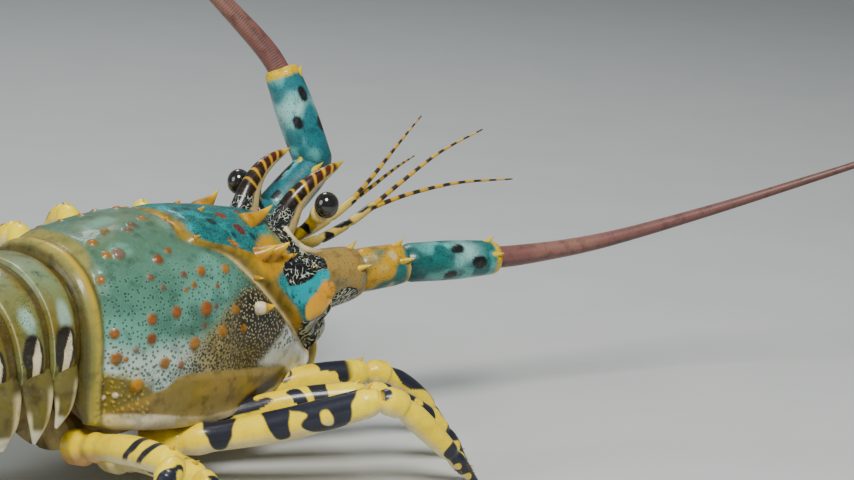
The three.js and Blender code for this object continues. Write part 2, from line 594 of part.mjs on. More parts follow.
for (const side of [-1, 1]) {
  const name = side < 0 ? "right" : "left";
  const inner = place("uropod_inner_" + name, clearOf(solid(blade(vec(-108, side * 9, 38), side * 22, 24,
    side * 4, FAN_LENGTH, bladeWidths, 1.5)), sixth, telson), shellOlive);
  place("uropod_outer_" + name, clearOf(solid(blade(vec(-106, side * 13, 33.5), side * 45, 22, side * 8,
    FAN_LENGTH, bladeWidths.map((width) => 1.1 * width), 1.5)), sixth, telson, inner), shellOlive);
}

// The origin is the bottom centre of the whole animal's box.
const box = new THREE.Box3().setFromObject(group);
const middle = box.getCenter(vec(0, 0, 0));
group.position.set(-middle.x, -middle.y, -box.min.z);

export default group;
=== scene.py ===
"""Looks for a life-size ornate spiny lobster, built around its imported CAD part.

Every shape is worked out in the animal's own millimetres and turned to metres at the end:
x = 0 at the rear edge of the carapace, +X to the head, +Y to the animal's left, z = 0 at the floor.
The skins follow the CAD solids, with finer relief, and carry their colours as attributes.
"""

import itertools
import math

import bpy
import numpy as np
from mathutils import Matrix, Vector


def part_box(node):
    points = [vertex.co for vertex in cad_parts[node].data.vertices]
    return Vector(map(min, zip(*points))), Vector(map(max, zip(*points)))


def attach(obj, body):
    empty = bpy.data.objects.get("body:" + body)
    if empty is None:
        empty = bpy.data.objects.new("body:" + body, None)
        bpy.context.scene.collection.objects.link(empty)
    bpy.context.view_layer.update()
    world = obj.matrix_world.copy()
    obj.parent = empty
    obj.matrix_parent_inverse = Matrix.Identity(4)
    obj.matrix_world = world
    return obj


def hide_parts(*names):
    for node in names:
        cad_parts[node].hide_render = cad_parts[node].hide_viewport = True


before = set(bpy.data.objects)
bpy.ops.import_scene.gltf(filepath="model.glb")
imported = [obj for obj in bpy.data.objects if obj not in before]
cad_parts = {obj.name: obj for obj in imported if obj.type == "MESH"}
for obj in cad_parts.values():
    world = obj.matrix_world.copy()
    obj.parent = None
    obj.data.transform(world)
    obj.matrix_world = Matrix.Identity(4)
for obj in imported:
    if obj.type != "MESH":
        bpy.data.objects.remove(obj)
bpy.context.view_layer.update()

# Where the animal's own origin lies in the row frame, in millimetres
shield_low, shield_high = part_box("thorax_shield")
ORIGIN = np.array([shield_low.x, (shield_low.y + shield_high.y) / 2, 0.0]) * 1000

RIGHT, LEFT = -1, 1
SIDES = ((RIGHT, "right"), (LEFT, "left"))


# Numbers


def vec(*values):
    return np.array(values, float)


def unit(vectors):
    vectors = np.asarray(vectors, float)
    return vectors / np.maximum(np.linalg.norm(vectors, axis=-1, keepdims=True), 1e-9)


def step(low, high, value):
    """0 below low, 1 above high, smooth between; falls instead of rising when low is above high."""
    share = np.clip((value - low) / (high - low), 0, 1)
    return share * share * (3 - 2 * share)


def hill(value, middle, width):
    return np.exp(-(((value - middle) / width) ** 2))


# The view's film curve pales colours, so they start out richer and a little darker
RICHNESS = 1.28
DEPTH = 0.9


def rgb(red, green, blue):
    """A screen colour from 0 to 255 as the linear values that shaders use."""
    screen = np.array([red, green, blue], float) / 255
    linear = np.where(screen <= 0.04045, screen / 12.92, ((screen + 0.055) / 1.055) ** 2.4)
    grey = linear @ (0.2126, 0.7152, 0.0722)
    return np.clip(DEPTH * (grey + RICHNESS * (linear - grey)), 0.002, 0.95)


# Large numbers that scramble the place of a cell into a random-looking value
SCRAMBLE = (73856093, 19349663, 83492791)
SCRAMBLE_ROUNDS = ((13, 1274126177), (16, 2246822519))
ALL_BITS = 0xFFFFFFFF


def noise(points, size, seed=0):
    """Smooth noise from 0 to 1, its lumps about size across."""
    cell = np.asarray(points, float) / size + 19.7 * (seed + 1)
    base = np.floor(cell).astype(np.int64)
    part = cell - base
    part = part * part * (3 - 2 * part)
    total = np.zeros(len(cell))
    for corner in itertools.product((0, 1), repeat=3):
        key = (base + np.array(corner)) * np.array(SCRAMBLE)
        key = key[:, 0] ^ key[:, 1] ^ key[:, 2]
        for shift, factor in SCRAMBLE_ROUNDS:
            key = (key ^ (key >> shift)) * factor & ALL_BITS
        total += np.prod(np.where(corner, part, 1 - part), axis=1) * key / ALL_BITS
    return total


def find_row(rows, x):
    """The rows as an array, x held inside them, and the row that each x follows."""
    rows = np.array(rows, float)
    x = np.clip(np.asarray(x, float), rows[0, 0], rows[-1, 0])
    return rows, x, np.clip(np.searchsorted(rows[:, 0], x, side="right") - 1, 0, len(rows) - 2)


def bend(here, there, leave, arrive, share):
    """The smooth line from here to there that leaves and arrives with the given slopes."""
    return ((2 * here - 2 * there + leave + arrive) * share**3
            + (-3 * here + 3 * there - 2 * leave - arrive) * share**2 + leave * share + here)


def profile(rows, x):
    """Smooth values between rows of [position, value, value, ...]; past the ends they hold still."""
    rows, x, row = find_row(rows, x)
    share = ((x - rows[row, 0]) / (rows[row + 1, 0] - rows[row, 0]))[..., None]
    before = rows[np.maximum(row - 1, 0), 1:]
    here, there = rows[row, 1:], rows[row + 1, 1:]
    after = rows[np.minimum(row + 2, len(rows) - 1), 1:]
    return np.moveaxis(bend(here, there, (there - before) / 2, (after - here) / 2, share), -1, 0)


def eased(rows, x):
    """Values between rows of [position, value, ...] that never swing past the rows."""
    rows, x, row = find_row(rows, x)
    gaps = np.diff(rows[:, 0])[:, None]
    rise = np.diff(rows[:, 1:], axis=0) / gaps
    slope = np.zeros_like(rows[:, 1:])
    slope[0], slope[-1] = rise[0], rise[-1]
    same = rise[:-1] * rise[1:] > 0
    mean = 2 * rise[:-1] * rise[1:] / np.where(same, rise[:-1] + rise[1:], 1)
    slope[1:-1] = np.where(same, mean, 0)
    gap = gaps[row]
    share = (x[..., None] - rows[row, :1]) / gap
    value = bend(rows[row, 1:], rows[row + 1, 1:], gap * slope[row], gap * slope[row + 1], share)
    return np.moveaxis(value, -1, 0)


class Route:
    """A smooth centripetal curve through points, measured by its length."""

    def __init__(self, points, steps=240):
        stops = np.array(points, float)
        stops = np.vstack([2 * stops[0] - stops[1], stops, 2 * stops[-1] - stops[-2]])
        gaps = np.linalg.norm(np.diff(stops, axis=0), axis=1) ** 0.5
        share = np.linspace(0, 1, steps, endpoint=False)[:, None]
        runs = []
        for i in range(1, len(stops) - 2):
            before, here, there, after = stops[i - 1:i + 3]
            near, gap, far = gaps[i - 1:i + 2]
            leave = gap * ((here - before) / near - (there - before) / (near + gap) + (there - here) / gap)
            arrive = gap * ((there - here) / gap - (after - here) / (gap + far) + (after - there) / far)
            runs.append(bend(here, there, leave, arrive, share))
        self.track = np.vstack(runs + [stops[-2:-1]])
        walked = np.concatenate([[0], np.cumsum(np.linalg.norm(np.diff(self.track, axis=0), axis=1))])
        self.length = walked[-1]
        self.share = walked / self.length

    def at(self, share):
        return np.stack([np.interp(share, self.share, self.track[:, k]) for k in range(3)], -1)

    def heading(self, share):
        share = np.asarray(share, float)
        return unit(self.at(np.minimum(share + 0.004, 1)) - self.at(np.maximum(share - 0.004, 0)))


def inside(x, z, outline, soft=1.0):
    """1 inside a closed outline of (x, z) corners, rounded off, 0 outside, softened over its edge."""
    corners = np.array(outline, float)
    for _ in range(2):
        after = np.roll(corners, -1, axis=0)
        corners = np.stack([0.75 * corners + 0.25 * after, 0.25 * corners + 0.75 * after], 1).reshape(-1, 2)
    x, z = np.asarray(x, float), np.asarray(z, float)
    nearest = np.full(x.shape, 1e9)
    within = np.zeros(x.shape, bool)
    for (ax, az), (bx, bz) in zip(corners, np.roll(corners, -1, axis=0)):
        dx, dz = bx - ax, bz - az
        share = np.clip(((x - ax) * dx + (z - az) * dz) / (dx * dx + dz * dz), 0, 1)
        nearest = np.minimum(nearest, np.hypot(x - ax - share * dx, z - az - share * dz))
        crosses = (az > z) != (bz > z)
        slope = (bx - ax) / (bz - az if bz != az else 1e-9)
        within ^= crosses & (x < ax + (z - az) * slope)
    return step(-soft, soft, np.where(within, nearest, -nearest))


# Skins: closed surfaces of rings, with colours


class Skin:
    """Closed surface: points in millimetres, faces, and where each point lies along and around it."""

    def __init__(self, rings, along=None, turn=None, ends=None):
        rings = np.asarray(rings, float)
        rows, columns = rings.shape[:2]
        along = np.linspace(0, 1, rows) if along is None else np.asarray(along, float)
        turn = np.linspace(0, 2 * math.pi, columns, endpoint=False) if turn is None else np.asarray(turn)
        first, last = (rings[0].mean(0), rings[-1].mean(0)) if ends is None else ends
        self.points = np.vstack([rings.reshape(-1, 3), first, last])
        self.along = np.concatenate([np.repeat(along, columns), [along[0], along[-1]]])
        self.turn = np.concatenate([np.tile(turn, rows), [0, 0]])
        here = np.arange(rows * columns).reshape(rows, columns)
        nearby = np.roll(here, -1, axis=1)
        quads = np.stack([here[:-1], nearby[:-1], nearby[1:], here[1:]], -1).reshape(-1, 4)
        start, stop = rows * columns, rows * columns + 1
        fan = np.stack([nearby[0], here[0], np.full(columns, start)], -1)
        fan_end = np.stack([here[-1], nearby[-1], np.full(columns, stop)], -1)
        self.faces = quads.tolist() + fan.tolist() + fan_end.tolist()
        if self.volume(quads, np.vstack([fan, fan_end])) < 0:
            self.faces = [face[::-1] for face in self.faces]
        self.paint = np.full((len(self.points), 3), 0.5)
        self.marks = np.zeros((len(self.points), 4))
        self.flat = self.points.copy()

    def volume(self, quads, triangles):
        """Six times the volume inside, negative when the faces point inwards."""
        halves = np.vstack([quads[:, [0, 1, 2]], quads[:, [0, 2, 3]], triangles])
        a, b, c = (self.points[halves[:, k]] for k in range(3))
        return np.einsum("ij,ij->i", a, np.cross(b, c)).sum()

    def noise(self, size, seed=0, stretch=1):
        return noise(self.points * stretch, size, seed)

    def colour(self, tone):
        """Paints the whole skin with one colour."""
        self.paint[:] = tone
        return self

    def cover(self, tone, amount):
        """Paints a colour over the skin, by an amount from 0 to 1 at each point."""
        amount = np.clip(amount, 0, 1)[:, None]
        self.paint = self.paint * (1 - amount) + np.asarray(tone) * amount
        return self

    def mark(self, channel, amount):
        self.marks[:, channel] = amount
        return self

    def clear(self, amount):
        """Takes the marks away, by an amount from 0 to 1 at each point."""
        self.marks *= (1 - amount)[:, None]


def limb(path, sections, sides=28, rings=60, hint=(0, 1, 0), relief=None, crowd=1):
    """A skin along a route: sections are [share, half width, half height]; relief adds to the radius.

    The hint is the way that the width points. A crowd above 1 draws the rings closer to the far end.
    """
    route = path if isinstance(path, Route) else Route(path)
    along = 1 - (1 - np.linspace(0, 1, rings)) ** crowd
    centre, heading = route.at(along), route.heading(along)
    hint = np.array(hint, float)
    side = unit(hint - (heading @ hint)[:, None] * heading)
    top = np.cross(side, heading)
    wide, tall = eased(sections, along)
    turn = np.linspace(0, 2 * math.pi, sides, endpoint=False)
    swell = np.zeros((rings, sides)) if relief is None else relief(along[:, None], turn[None, :])
    across = (wide[:, None] + swell) * np.cos(turn)
    up = (tall[:, None] + swell) * np.sin(turn)
    points = centre[:, None] + across[..., None] * side[:, None] + up[..., None] * top[:, None]
    return Skin(points, along, turn)


def mirrored(side, points):
    """Points given for the left side, on the side asked for."""
    return [(x, side * out, z) for x, out, z in points]


# Half widths of a plain spine and of one with a swollen root
THORN = [[0, 1.1], [0.12, 1], [0.3, 0.8], [0.6, 0.47], [0.85, 0.2], [1, 0.05]]
BULB = [[0, 0.9], [0.15, 1.05], [0.32, 1.02], [0.5, 0.84],
        [0.65, 0.6], [0.8, 0.36], [0.92, 0.17], [1, 0.05]]
SPINE_RINGS = 20


def spine(root, direction, length, radius, lift=0.12, sides=16, rows=THORN):
    """A curved spine, flared at the root, its tip pointed."""
    along = unit(direction)
    path = [root - 0.7 * radius * along, root + 0.5 * length * along,
            root + length * along + vec(0, 0, lift * length)]
    sections = [[share, wide * radius, wide * radius] for share, wide in rows]
    hint = (1, 0, 0) if abs(along[1]) > 0.8 else (0, 1, 0)
    return limb(path, sections, sides, SPINE_RINGS, hint)


def make_piece(name, skins, material, slot, *nodes):
    """One visible piece from skins, riding on the body and standing for the CAD nodes."""
    mesh = bpy.data.meshes.new(name)
    points, faces, start = [], [], 0
    for skin in skins:
        points.append(skin.points)
        faces += [[start + i for i in face] for face in skin.faces]
        start += len(skin.points)
    mesh.from_pydata((np.vstack(points) + ORIGIN) / 1000, [], faces)
    mesh.polygons.foreach_set("use_smooth", [True] * len(faces))
    paint = np.vstack([skin.paint for skin in skins])
    opaque = np.ones((len(paint), 1))
    marks = np.vstack([skin.marks for skin in skins])
    for label, values in (("paint", np.hstack([paint, opaque])), ("marks", marks)):
        layer = mesh.attributes.new(label, "FLOAT_COLOR", "POINT")
        layer.data.foreach_set("color", values.ravel())
    layer = mesh.attributes.new("flat", "FLOAT_VECTOR", "POINT")
    layer.data.foreach_set("vector", np.vstack([skin.flat for skin in skins]).ravel())
    mesh.materials.append(material)
    mesh.update()
    piece = bpy.data.objects.new(name, mesh)
    bpy.context.scene.collection.objects.link(piece)
    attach(piece, "root")
    if nodes:
        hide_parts(*nodes)
    return piece


# Materials


class Value:
    """A shader value that takes part in plain arithmetic."""

    def __init__(self, shader, socket):
        self.shader, self.socket = shader, socket

    def math(self, operation, *others):
        return self.shader.node("ShaderNodeMath", {"operation": operation}, *(self, *others))

    def __add__(self, other):
        return self.math("ADD", other)

    def __sub__(self, other):
        return self.math("SUBTRACT", other)

    def __mul__(self, other):
        return self.math("MULTIPLY", other)

    def __truediv__(self, other):
        return self.math("DIVIDE", other)

    def __rsub__(self, other):
        return self.shader.node("ShaderNodeMath", {"operation": "SUBTRACT"}, other, self)

    __radd__ = __add__
    __rmul__ = __mul__

    def step(self, low, high):
        """Smoothly from 0 at low to 1 at high, which may be values themselves."""
        return self.shader.node("ShaderNodeMapRange", {"interpolation_type": "SMOOTHSTEP"},
                                Value=self, **{"From Min": low, "From Max": high})


class Shader:
    """A material's nodes, made by type: settings first, then inputs."""

    def __init__(self, name):
        self.material = bpy.data.materials.new(name)
        self.material.use_nodes = True
        self.tree = self.material.node_tree
        self.surface = self.tree.nodes["Principled BSDF"]

    def feed(self, socket, value):
        if isinstance(value, Value):
            self.tree.links.new(value.socket, socket)
        elif hasattr(value, "__len__") and len(value) == 3 and socket.type == "RGBA":
            socket.default_value = (*value, 1)
        else:
            socket.default_value = value

    def node(self, kind, settings, *inputs, output=0, **named):
        """Adds a node: inputs in their own order, None to leave one as it is, or by name."""
        made = self.tree.nodes.new(kind)
        for key, value in settings.items():
            setattr(made, key, value)
        for socket, value in zip(made.inputs, inputs):
            if value is not None:
                self.feed(socket, value)
        for key, value in named.items():
            self.feed(made.inputs[key], value)
        return Value(self, made.outputs[output])

    def mix(self, first, second, share):
        """A mix of two colours, which are the node's seventh and eighth inputs and its third output."""
        unused = [None] * 5
        return self.node("ShaderNodeMix", {"data_type": "RGBA"}, share, *unused, first, second, output=2)

    def stain(self, colour, tone, amount, where):
        """Some of a tone over a colour, where the mask is 1."""
        return self.mix(colour, self.mix(colour, tone, amount), where)

    def millimetres(self):
        spot = self.node("ShaderNodeTexCoord", {}, output="Object")
        return self.node("ShaderNodeVectorMath", {"operation": "SCALE"}, spot, Scale=1000.0)

    def attribute(self, label, output):
        return self.node("ShaderNodeAttribute", {"attribute_name": label}, output=output)

    def paint(self):
        return self.attribute("paint", "Color")

    def marks(self):
        """The four marks of the skin, each a value from 0 up."""
        three = self.node("ShaderNodeSeparateColor", {}, self.attribute("marks", "Color"))
        fourth = self.attribute("marks", "Alpha")
        return [Value(self, socket) for socket in three.socket.node.outputs] + [fourth]

    def cells(self, spot, size, dimensions="3D"):
        settings = {"voronoi_dimensions": dimensions}
        return self.node("ShaderNodeTexVoronoi", settings, output="Distance", Vector=spot, Scale=1 / size)

    def grain(self, spot, size, detail=2.0):
        return self.node("ShaderNodeTexNoise", {}, output=0, Vector=spot, Scale=1 / size, Detail=detail)

    def finish(self, colour, roughness, height=None, strength=0.3, depth=0.0002, **uniform):
        self.feed(self.surface.inputs["Base Color"], colour)
        self.feed(self.surface.inputs["Roughness"], roughness)
        for key, value in uniform.items():
            self.surface.inputs[key.replace("_", " ")].default_value = value
        if height is not None:
            relief = self.node("ShaderNodeBump", {}, Strength=strength, Distance=depth, Height=height)
            self.feed(self.surface.inputs["Normal"], relief)
        return self.material


INK = rgb(20, 22, 24)
PALE_LINE = rgb(186, 190, 176)
DOT = rgb(26, 44, 42)
DOT_HALO = rgb(150, 184, 166)
DENSE_DOT = rgb(26, 28, 24)
PALE_POINT = rgb(200, 192, 158)
# Stains, as the linear values that shaders use
SOOT = (0.002, 0.003, 0.003)
DUST = (0.5, 0.5, 0.42)
UMBER = (0.01, 0.008, 0.004)
WHIP_BROWN = (0.01, 0.004, 0.003)
GROOVE_BROWN = (0.008, 0.003, 0.003)
BLACK = (0, 0, 0)
WET = {"IOR": 1.4, "Specular_IOR_Level": 0.35}
PALE_POINT_SPACING = 1.5
WHIP_RING_LENGTH = 1.15


def shell_material(name, coarse=2.1, dense=1.25, worm=1.9, coat=0.25, laid_flat=False):
    """Painted shell, with sizes in millimetres.

    Marks: coarse dots, dense dots, a pattern on black (1 worms, 2 stripes), pale points.
    """
    look = Shader(name)
    spot = look.millimetres()
    plane = look.attribute("flat", "Vector") if laid_flat else spot
    dimensions = "2D" if laid_flat else "3D"
    few, many, pattern, pale = look.marks()
    colour = look.stain(look.paint(), SOOT, 0.4, look.grain(spot, 5.0, 4.0).step(0.48, 0.72))
    colour = look.stain(colour, DUST, 0.05, look.grain(spot, 1.6, 2.0).step(0.5, 0.75))
    # Coarse dots, each in a faint pale ring
    cell = look.cells(plane, coarse, dimensions)
    reach = few * 0.36
    halo = (1 - cell.step(reach + 0.03, reach + 0.24)) * few.step(0.05, 0.3)
    colour = look.mix(colour, DOT_HALO, halo * 0.12)
    dot = (1 - cell.step(reach - 0.05, reach + 0.05)) * few.step(0.05, 0.2)
    colour = look.mix(colour, DOT, dot * 0.72)
    # Dense dots, then pale points between them
    cell = look.cells(plane, dense, dimensions)
    reach = many * 0.42
    point = (1 - cell.step(reach - 0.08, reach + 0.08)) * many.step(0.02, 0.25)
    colour = look.mix(colour, DENSE_DOT, point * 0.85)
    light = (1 - look.cells(plane, PALE_POINT_SPACING, dimensions).step(0.16, 0.32)) * pale
    colour = look.mix(colour, PALE_POINT, light * 0.6)
    # Patterns on black: worms, or the same drawn out into stripes
    drawn = look.node("ShaderNodeMapping", {"vector_type": "TEXTURE"}, Vector=spot,
                      Rotation=(0.0, -0.75, 0.0), Scale=(4.5, 1.0, 1.0))
    worms = (look.grain(spot, worm, 0.0) - 0.5).math("ABSOLUTE")
    stripes = (look.grain(drawn, worm * 0.85, 0.0) - 0.5).math("ABSOLUTE")
    line = look.mix(1 - worms.step(0.025, 0.06), 1 - stripes.step(0.05, 0.1), pattern.step(1.3, 1.7))
    breaks = look.grain(spot, 2.3, 0.0).step(0.47, 0.56) * pattern.step(1.7, 1.3)
    line = look.mix(line, BLACK, breaks * 0.9)
    colour = look.mix(colour, look.mix(INK, PALE_LINE, line), pattern.step(0.3, 0.6))
    fleck = look.grain(spot, 0.7, 2.0)
    roughness = look.grain(spot, 3.0, 2.0) * 0.3 + 0.24
    height = fleck * 0.3 + look.grain(spot, 2.2, 2.0) * 0.6 - dot * 0.4 - point * 0.25
    return look.finish(colour, roughness, height, 0.4, 0.0003, Coat_Weight=coat, Coat_Roughness=0.1, **WET)


def smooth_material(name, grain_size=1.2, darker=0.3, rough=(0.25, 0.2), depth=0.00015, coat=0.25):
    """Painted leg and underside: mottled and finely pitted."""
    look = Shader(name)
    spot = look.millimetres()
    colour = look.stain(look.paint(), UMBER, darker, look.grain(spot, 5.0, 4.0).step(0.4, 0.8))
    fleck = look.grain(spot, grain_size, 3.0)
    colour = look.stain(colour, BLACK, 0.25, fleck.step(0.55, 0.8))
    pits = look.cells(spot, grain_size * 1.6).step(0.1, 0.35)
    roughness = look.grain(spot, 2.5, 2.0) * rough[1] + rough[0]
    return look.finish(colour, roughness, fleck * 0.5 + pits * 0.5, 0.4, depth,
                       Coat_Weight=coat, Coat_Roughness=0.12, **WET)


def flagellum_material(name):
    """Whip of the antenna. Marks: the distance along it, which counts its narrow rings, and a groove."""
    look = Shader(name)
    spot = look.millimetres()
    distance, groove, _, _ = look.marks()
    ring = (distance * (2 * math.pi / WHIP_RING_LENGTH)).math("SINE").step(-0.8, 0.6)
    colour = look.stain(look.paint(), WHIP_BROWN, 0.5, (1 - ring) * 0.3)
    colour = look.stain(colour, GROOVE_BROWN, 0.6, groove)
    colour = look.stain(colour, WHIP_BROWN, 0.45, look.grain(spot, 4.0, 3.0).step(0.45, 0.75))
    height = ring * 0.6 - groove + look.grain(spot, 0.5) * 0.3
    return look.finish(colour, look.grain(spot, 2.0) * 0.2 + 0.38, height, 0.4, 0.0003,
                       Coat_Weight=0.15, Coat_Roughness=0.3, IOR=1.5)


def eye_material(name):
    """Polished black with fine facets."""
    look = Shader(name)
    spot = look.millimetres()
    facets = look.cells(spot, 0.35)
    colour = look.mix(rgb(20, 18, 16), rgb(44, 38, 30), look.grain(spot, 3.0).step(0.45, 0.7))
    return look.finish(colour, look.grain(spot, 1.5) * 0.08 + 0.1, facets, 0.12, 0.00005,
                       Coat_Weight=1.0, Coat_Roughness=0.04, IOR=1.45)


shell = shell_material("shell", laid_flat=True)
plate_shell = shell_material("plate_shell", worm=1.5)
tail_shell = shell_material("tail_shell", coarse=1.6, dense=0.9)
antenna_shell = shell_material("antenna_shell", coarse=1.8, dense=1.0, worm=1.3)
horn_shell = shell_material("horn_shell", worm=1.3, coat=0.4)
leg = smooth_material("leg", 1.1, 0.2, (0.25, 0.2), 0.00015, 0.3)
underside = smooth_material("underside", 1.5, 0.4, (0.4, 0.25), 0.0003, 0.15)
flagellum = flagellum_material("flagellum")
eye_black = eye_material("eye_black")

# Colours, named by what they are on the animal
TEAL = rgb(94, 132, 116)
TEAL_FRONT = rgb(76, 116, 98)
TEAL_BACK = rgb(80, 108, 90)
TEAL_DARK = rgb(62, 96, 82)
AQUA = rgb(122, 172, 158)
PALE_BAND = rgb(190, 208, 200)
BROWN = rgb(126, 108, 68)
FRONT_WHITE = rgb(206, 212, 204)
OCHRE = rgb(142, 126, 84)
OCHRE_REAR = rgb(126, 102, 58)
CREAM = rgb(206, 192, 150)
OLIVE = rgb(112, 102, 58)
TURQUOISE = rgb(22, 112, 112)
TURQUOISE_LIGHT = rgb(66, 146, 146)
GROOVE_YELLOW = rgb(134, 114, 60)
ORANGE = rgb(226, 168, 0)
KNOB_GOLD = rgb(150, 104, 0)
KNOB_RED = rgb(114, 44, 0)
RED_SPOT = rgb(128, 66, 20)
SPINE_ORANGE = rgb(176, 134, 0)
SPINE_YELLOW = rgb(216, 186, 30)
CYAN = rgb(40, 158, 166)
BONE = rgb(230, 218, 190)
BLUE = rgb(54, 108, 116)


# Carapace

BACK_HEIGHT = 100
WIDEST = 0.62
CARAPACE_ROWS = [
    [0, 33.5, 93, 34.5, 2.3, 1], [12, 35.5, 97, 30.5, 2.3, 2], [35, 37.5, 100, 26, 2.3, 3],
    [60, 37.5, 100, 23.5, 2.3, 4], [80, 36, 98, 24, 2.2, 5], [100, 33, 94.5, 29, 2, 5],
    [112, 30.5, 91, 33, 1.9, 4], [124, 27.5, 85, 36, 1.8, 3],
]


def groove_x(z):
    return 57 + 0.95 * (BACK_HEIGHT - z) - 10 * hill(z, 93, 5)


def past_groove(x, z):
    """How far ahead of the groove across the back, square to it."""
    return (x - groove_x(z)) / math.hypot(1, 0.95)


def shell_point(x, girth, side):
    """The shell at x, where girth runs from 0 on the back's midline to 1 at the skirt's edge."""
    x, girth, side = np.broadcast_arrays(np.asarray(x, float), girth, side)
    half, top, low, roundness, tuck = profile(CARAPACE_ROWS, x)
    waist = low + 0.45 * (top - low)
    turn = math.pi / 2 * (1 - np.minimum(girth, WIDEST) / WIDEST)
    down = np.clip((girth - WIDEST) / (1 - WIDEST), 0, None)
    y = np.where(girth <= WIDEST, half * np.abs(np.cos(turn)) ** (2 / roundness), half - tuck * down**2)
    z = np.where(girth <= WIDEST, waist + (top - waist) * np.sin(turn) ** (2 / roundness),
                 waist - (waist - low) * down)
    fade = np.clip((1 - girth) / 0.12, 0, 1)
    dent = (2.4 * hill(past_groove(x, z), 0, 2.6) + 1.3 * hill(x, 8, 2.2)) * fade
    shrink = 1 - dent / half
    return np.stack([x, side * y * shrink, waist + (z - waist) * shrink], -1)


def shell_normal(x, girth, side):
    here = shell_point(x, girth, side)
    ahead = shell_point(x + 0.5, girth, side) - here
    around = shell_point(x, girth + 0.01, side) - here
    normal = unit(np.cross(ahead, around))
    outward = normal[..., 1] * here[..., 1] + normal[..., 2] * (here[..., 2] - 60)
    return normal * np.where(outward < 0, -1, 1)[..., None]


def girth_at(x, z):
    girths = np.linspace(0, 1, 400)
    heights = shell_point(np.full(400, float(x)), girths, 1)[:, 2]
    return float(np.interp(-z, -heights, girths))


# Orange knobs of the flank: distance from the rear, height, radius, and how red they are
FLANK_KNOBS = [
    (26, 70, 1.9, 0.5), (37, 71, 2.0, 0.6), (51, 70, 2.5, 0.55), (10.5, 67, 1.7, 0.5), (25.5, 63, 1.9, 0.7),
    (11, 58, 2.1, 0.1), (31.5, 53, 2.0, 0.0), (45, 58, 2.3, 0.2), (59, 60, 1.9, 0.0), (66, 67, 1.6, 0.0),
    (70, 59, 1.5, 0.0), (20, 46.5, 2.4, -0.6), (52, 83, 1.8, 0.2), (64, 82, 1.7, 0.0), (35, 89, 1.8, 0.8),
    (43.5, 83, 1.3, 0.9), (16.5, 92, 1.5, 0.1), (39, 51, 1.4, 0.8), (10, 85, 1.4, 0.2), (29, 84, 1.2, 0.9),
    (47, 79, 1.1, 0.1), (43, 78, 0.9, 0.3), (58, 77, 0.9, 0.6), (21, 92, 2.3, 1.0), (33, 80, 1.0, 1.0),
    (19, 60, 1.2, 0.9), (15, 57, 1.0, 0.3), (50, 64, 1.0, 0.9), (56, 70, 1.0, 0.9), (41, 91, 1.2, 0.6),
]
# Spines of the shell: distance, girth, length, radius, and how far they lean forward
THORAX_SPINES = [(79, 0.555, 6.4, 2.6, 1.1), (52, 0.1, 1.8, 1.3, 1.1), (58, 0.24, 1.6, 1.2, 1.1)]
HEAD_SPINES = [
    (93, 0.16, 11, 4.0, 1.9), (86, 0.35, 7, 4.2, 0.4), (93, 0.345, 8, 4.4, 0.5), (112, 0.43, 4, 1.5, 0.5),
    (74, 0.06, 1.8, 1.3, 1.1), (101, 0.37, 3, 2.2, 0.8), (82, 0.44, 2.4, 1.5, 0.8), (106, 0.36, 2, 1.2, 1.0),
]
# How far forward the front margin reaches at each girth: back, orbit, cheek and corner
FRONT_MARGIN = [[0, 114.5], [0.1, 113], [0.2, 110.5], [0.29, 111], [0.33, 113.5], [0.37, 118], [0.42, 121],
                [0.5, 121.5], [0.62, 120.5], [0.78, 118], [0.9, 115.5], [1, 112]]


def knob_list():
    """Every knob as centre, radius and redness, on both sides, with smaller rows along the back."""
    knobs = []
    for side in (RIGHT, LEFT):
        for x, z, radius, redness in FLANK_KNOBS:
            knobs.append((shell_point(x, girth_at(x, z), side), radius, redness))
    draw = np.random.default_rng(7)
    for row in range(6):
        for side in (RIGHT, LEFT):
            x = 15 + 7.5 * row + draw.uniform(-2, 2)
            girth = 0.09 + draw.uniform(-0.03, 0.07)
            knobs.append((shell_point(x, girth, side), draw.uniform(1.0, 1.7), draw.uniform(0, 1)))
    return knobs


# Outlines of patches on the right side, as (x, z) corners
SQUIGGLE_PATCH = [(96, 76.5), (102, 80), (110, 78), (119, 78.5), (121, 74), (116, 71.5),
                  (108, 68.5), (103, 67.5), (98, 69.5)]
CYAN_PATCH = [(94.5, 69.4), (99, 70), (105.3, 69), (112.8, 71.5), (118.5, 74.5),
              (121, 71), (117, 67.5), (108.5, 62.5), (102.7, 61.8), (97.5, 64.5)]
ORANGE_PATCH = [(105.5, 59.5), (108.9, 63.3), (114.5, 67), (119, 69.5), (123, 66.5),
                (121.5, 61), (118, 55.8), (110.5, 54.2), (106.5, 55.5)]
ZEBRA_PATCH = [(104, 55), (107, 54.6), (110.5, 54), (117.5, 55.6), (121.5, 61), (127, 66),
               (136, 62), (134, 48), (126, 36), (114, 33), (111.5, 40), (108.5, 47)]
BLACK_ZONE = [(66, 73), (78, 75), (86, 69), (94, 59), (101, 50), (98, 46), (90, 49), (78, 50), (68, 57)]
WHITE_ZONE = [(93, 52), (98, 56), (103, 50), (113, 45), (119, 34), (101, 32), (98, 38), (80, 42), (86, 46)]
OLIVE_CORNER = [(2, 55), (10, 51.5), (22, 48.5), (30, 43), (24, 33), (2, 33)]
# Where painted shade darkens the lower front of the ochre lobe
LOBE_FRONT_SHADE = [(68, 26), (76, 31.5), (86, 34), (98.5, 38), (100, 36), (94, 31), (88, 26)]
GOLD_PATCH = [(81, 82), (88, 88), (97, 88.5), (105, 86), (103, 78), (96, 76), (90, 73), (83, 77)]
OLIVE_PATCH = [(100, 92), (108, 90), (113, 84), (121, 80), (120, 77), (106, 79), (98, 85)]
ORBIT_PATCH = [(102, 86), (107, 85), (112, 87), (113.5, 82), (117, 80.5), (122, 80),
               (122, 76.5), (113, 76.5), (108, 78.8), (103.5, 81.3)]


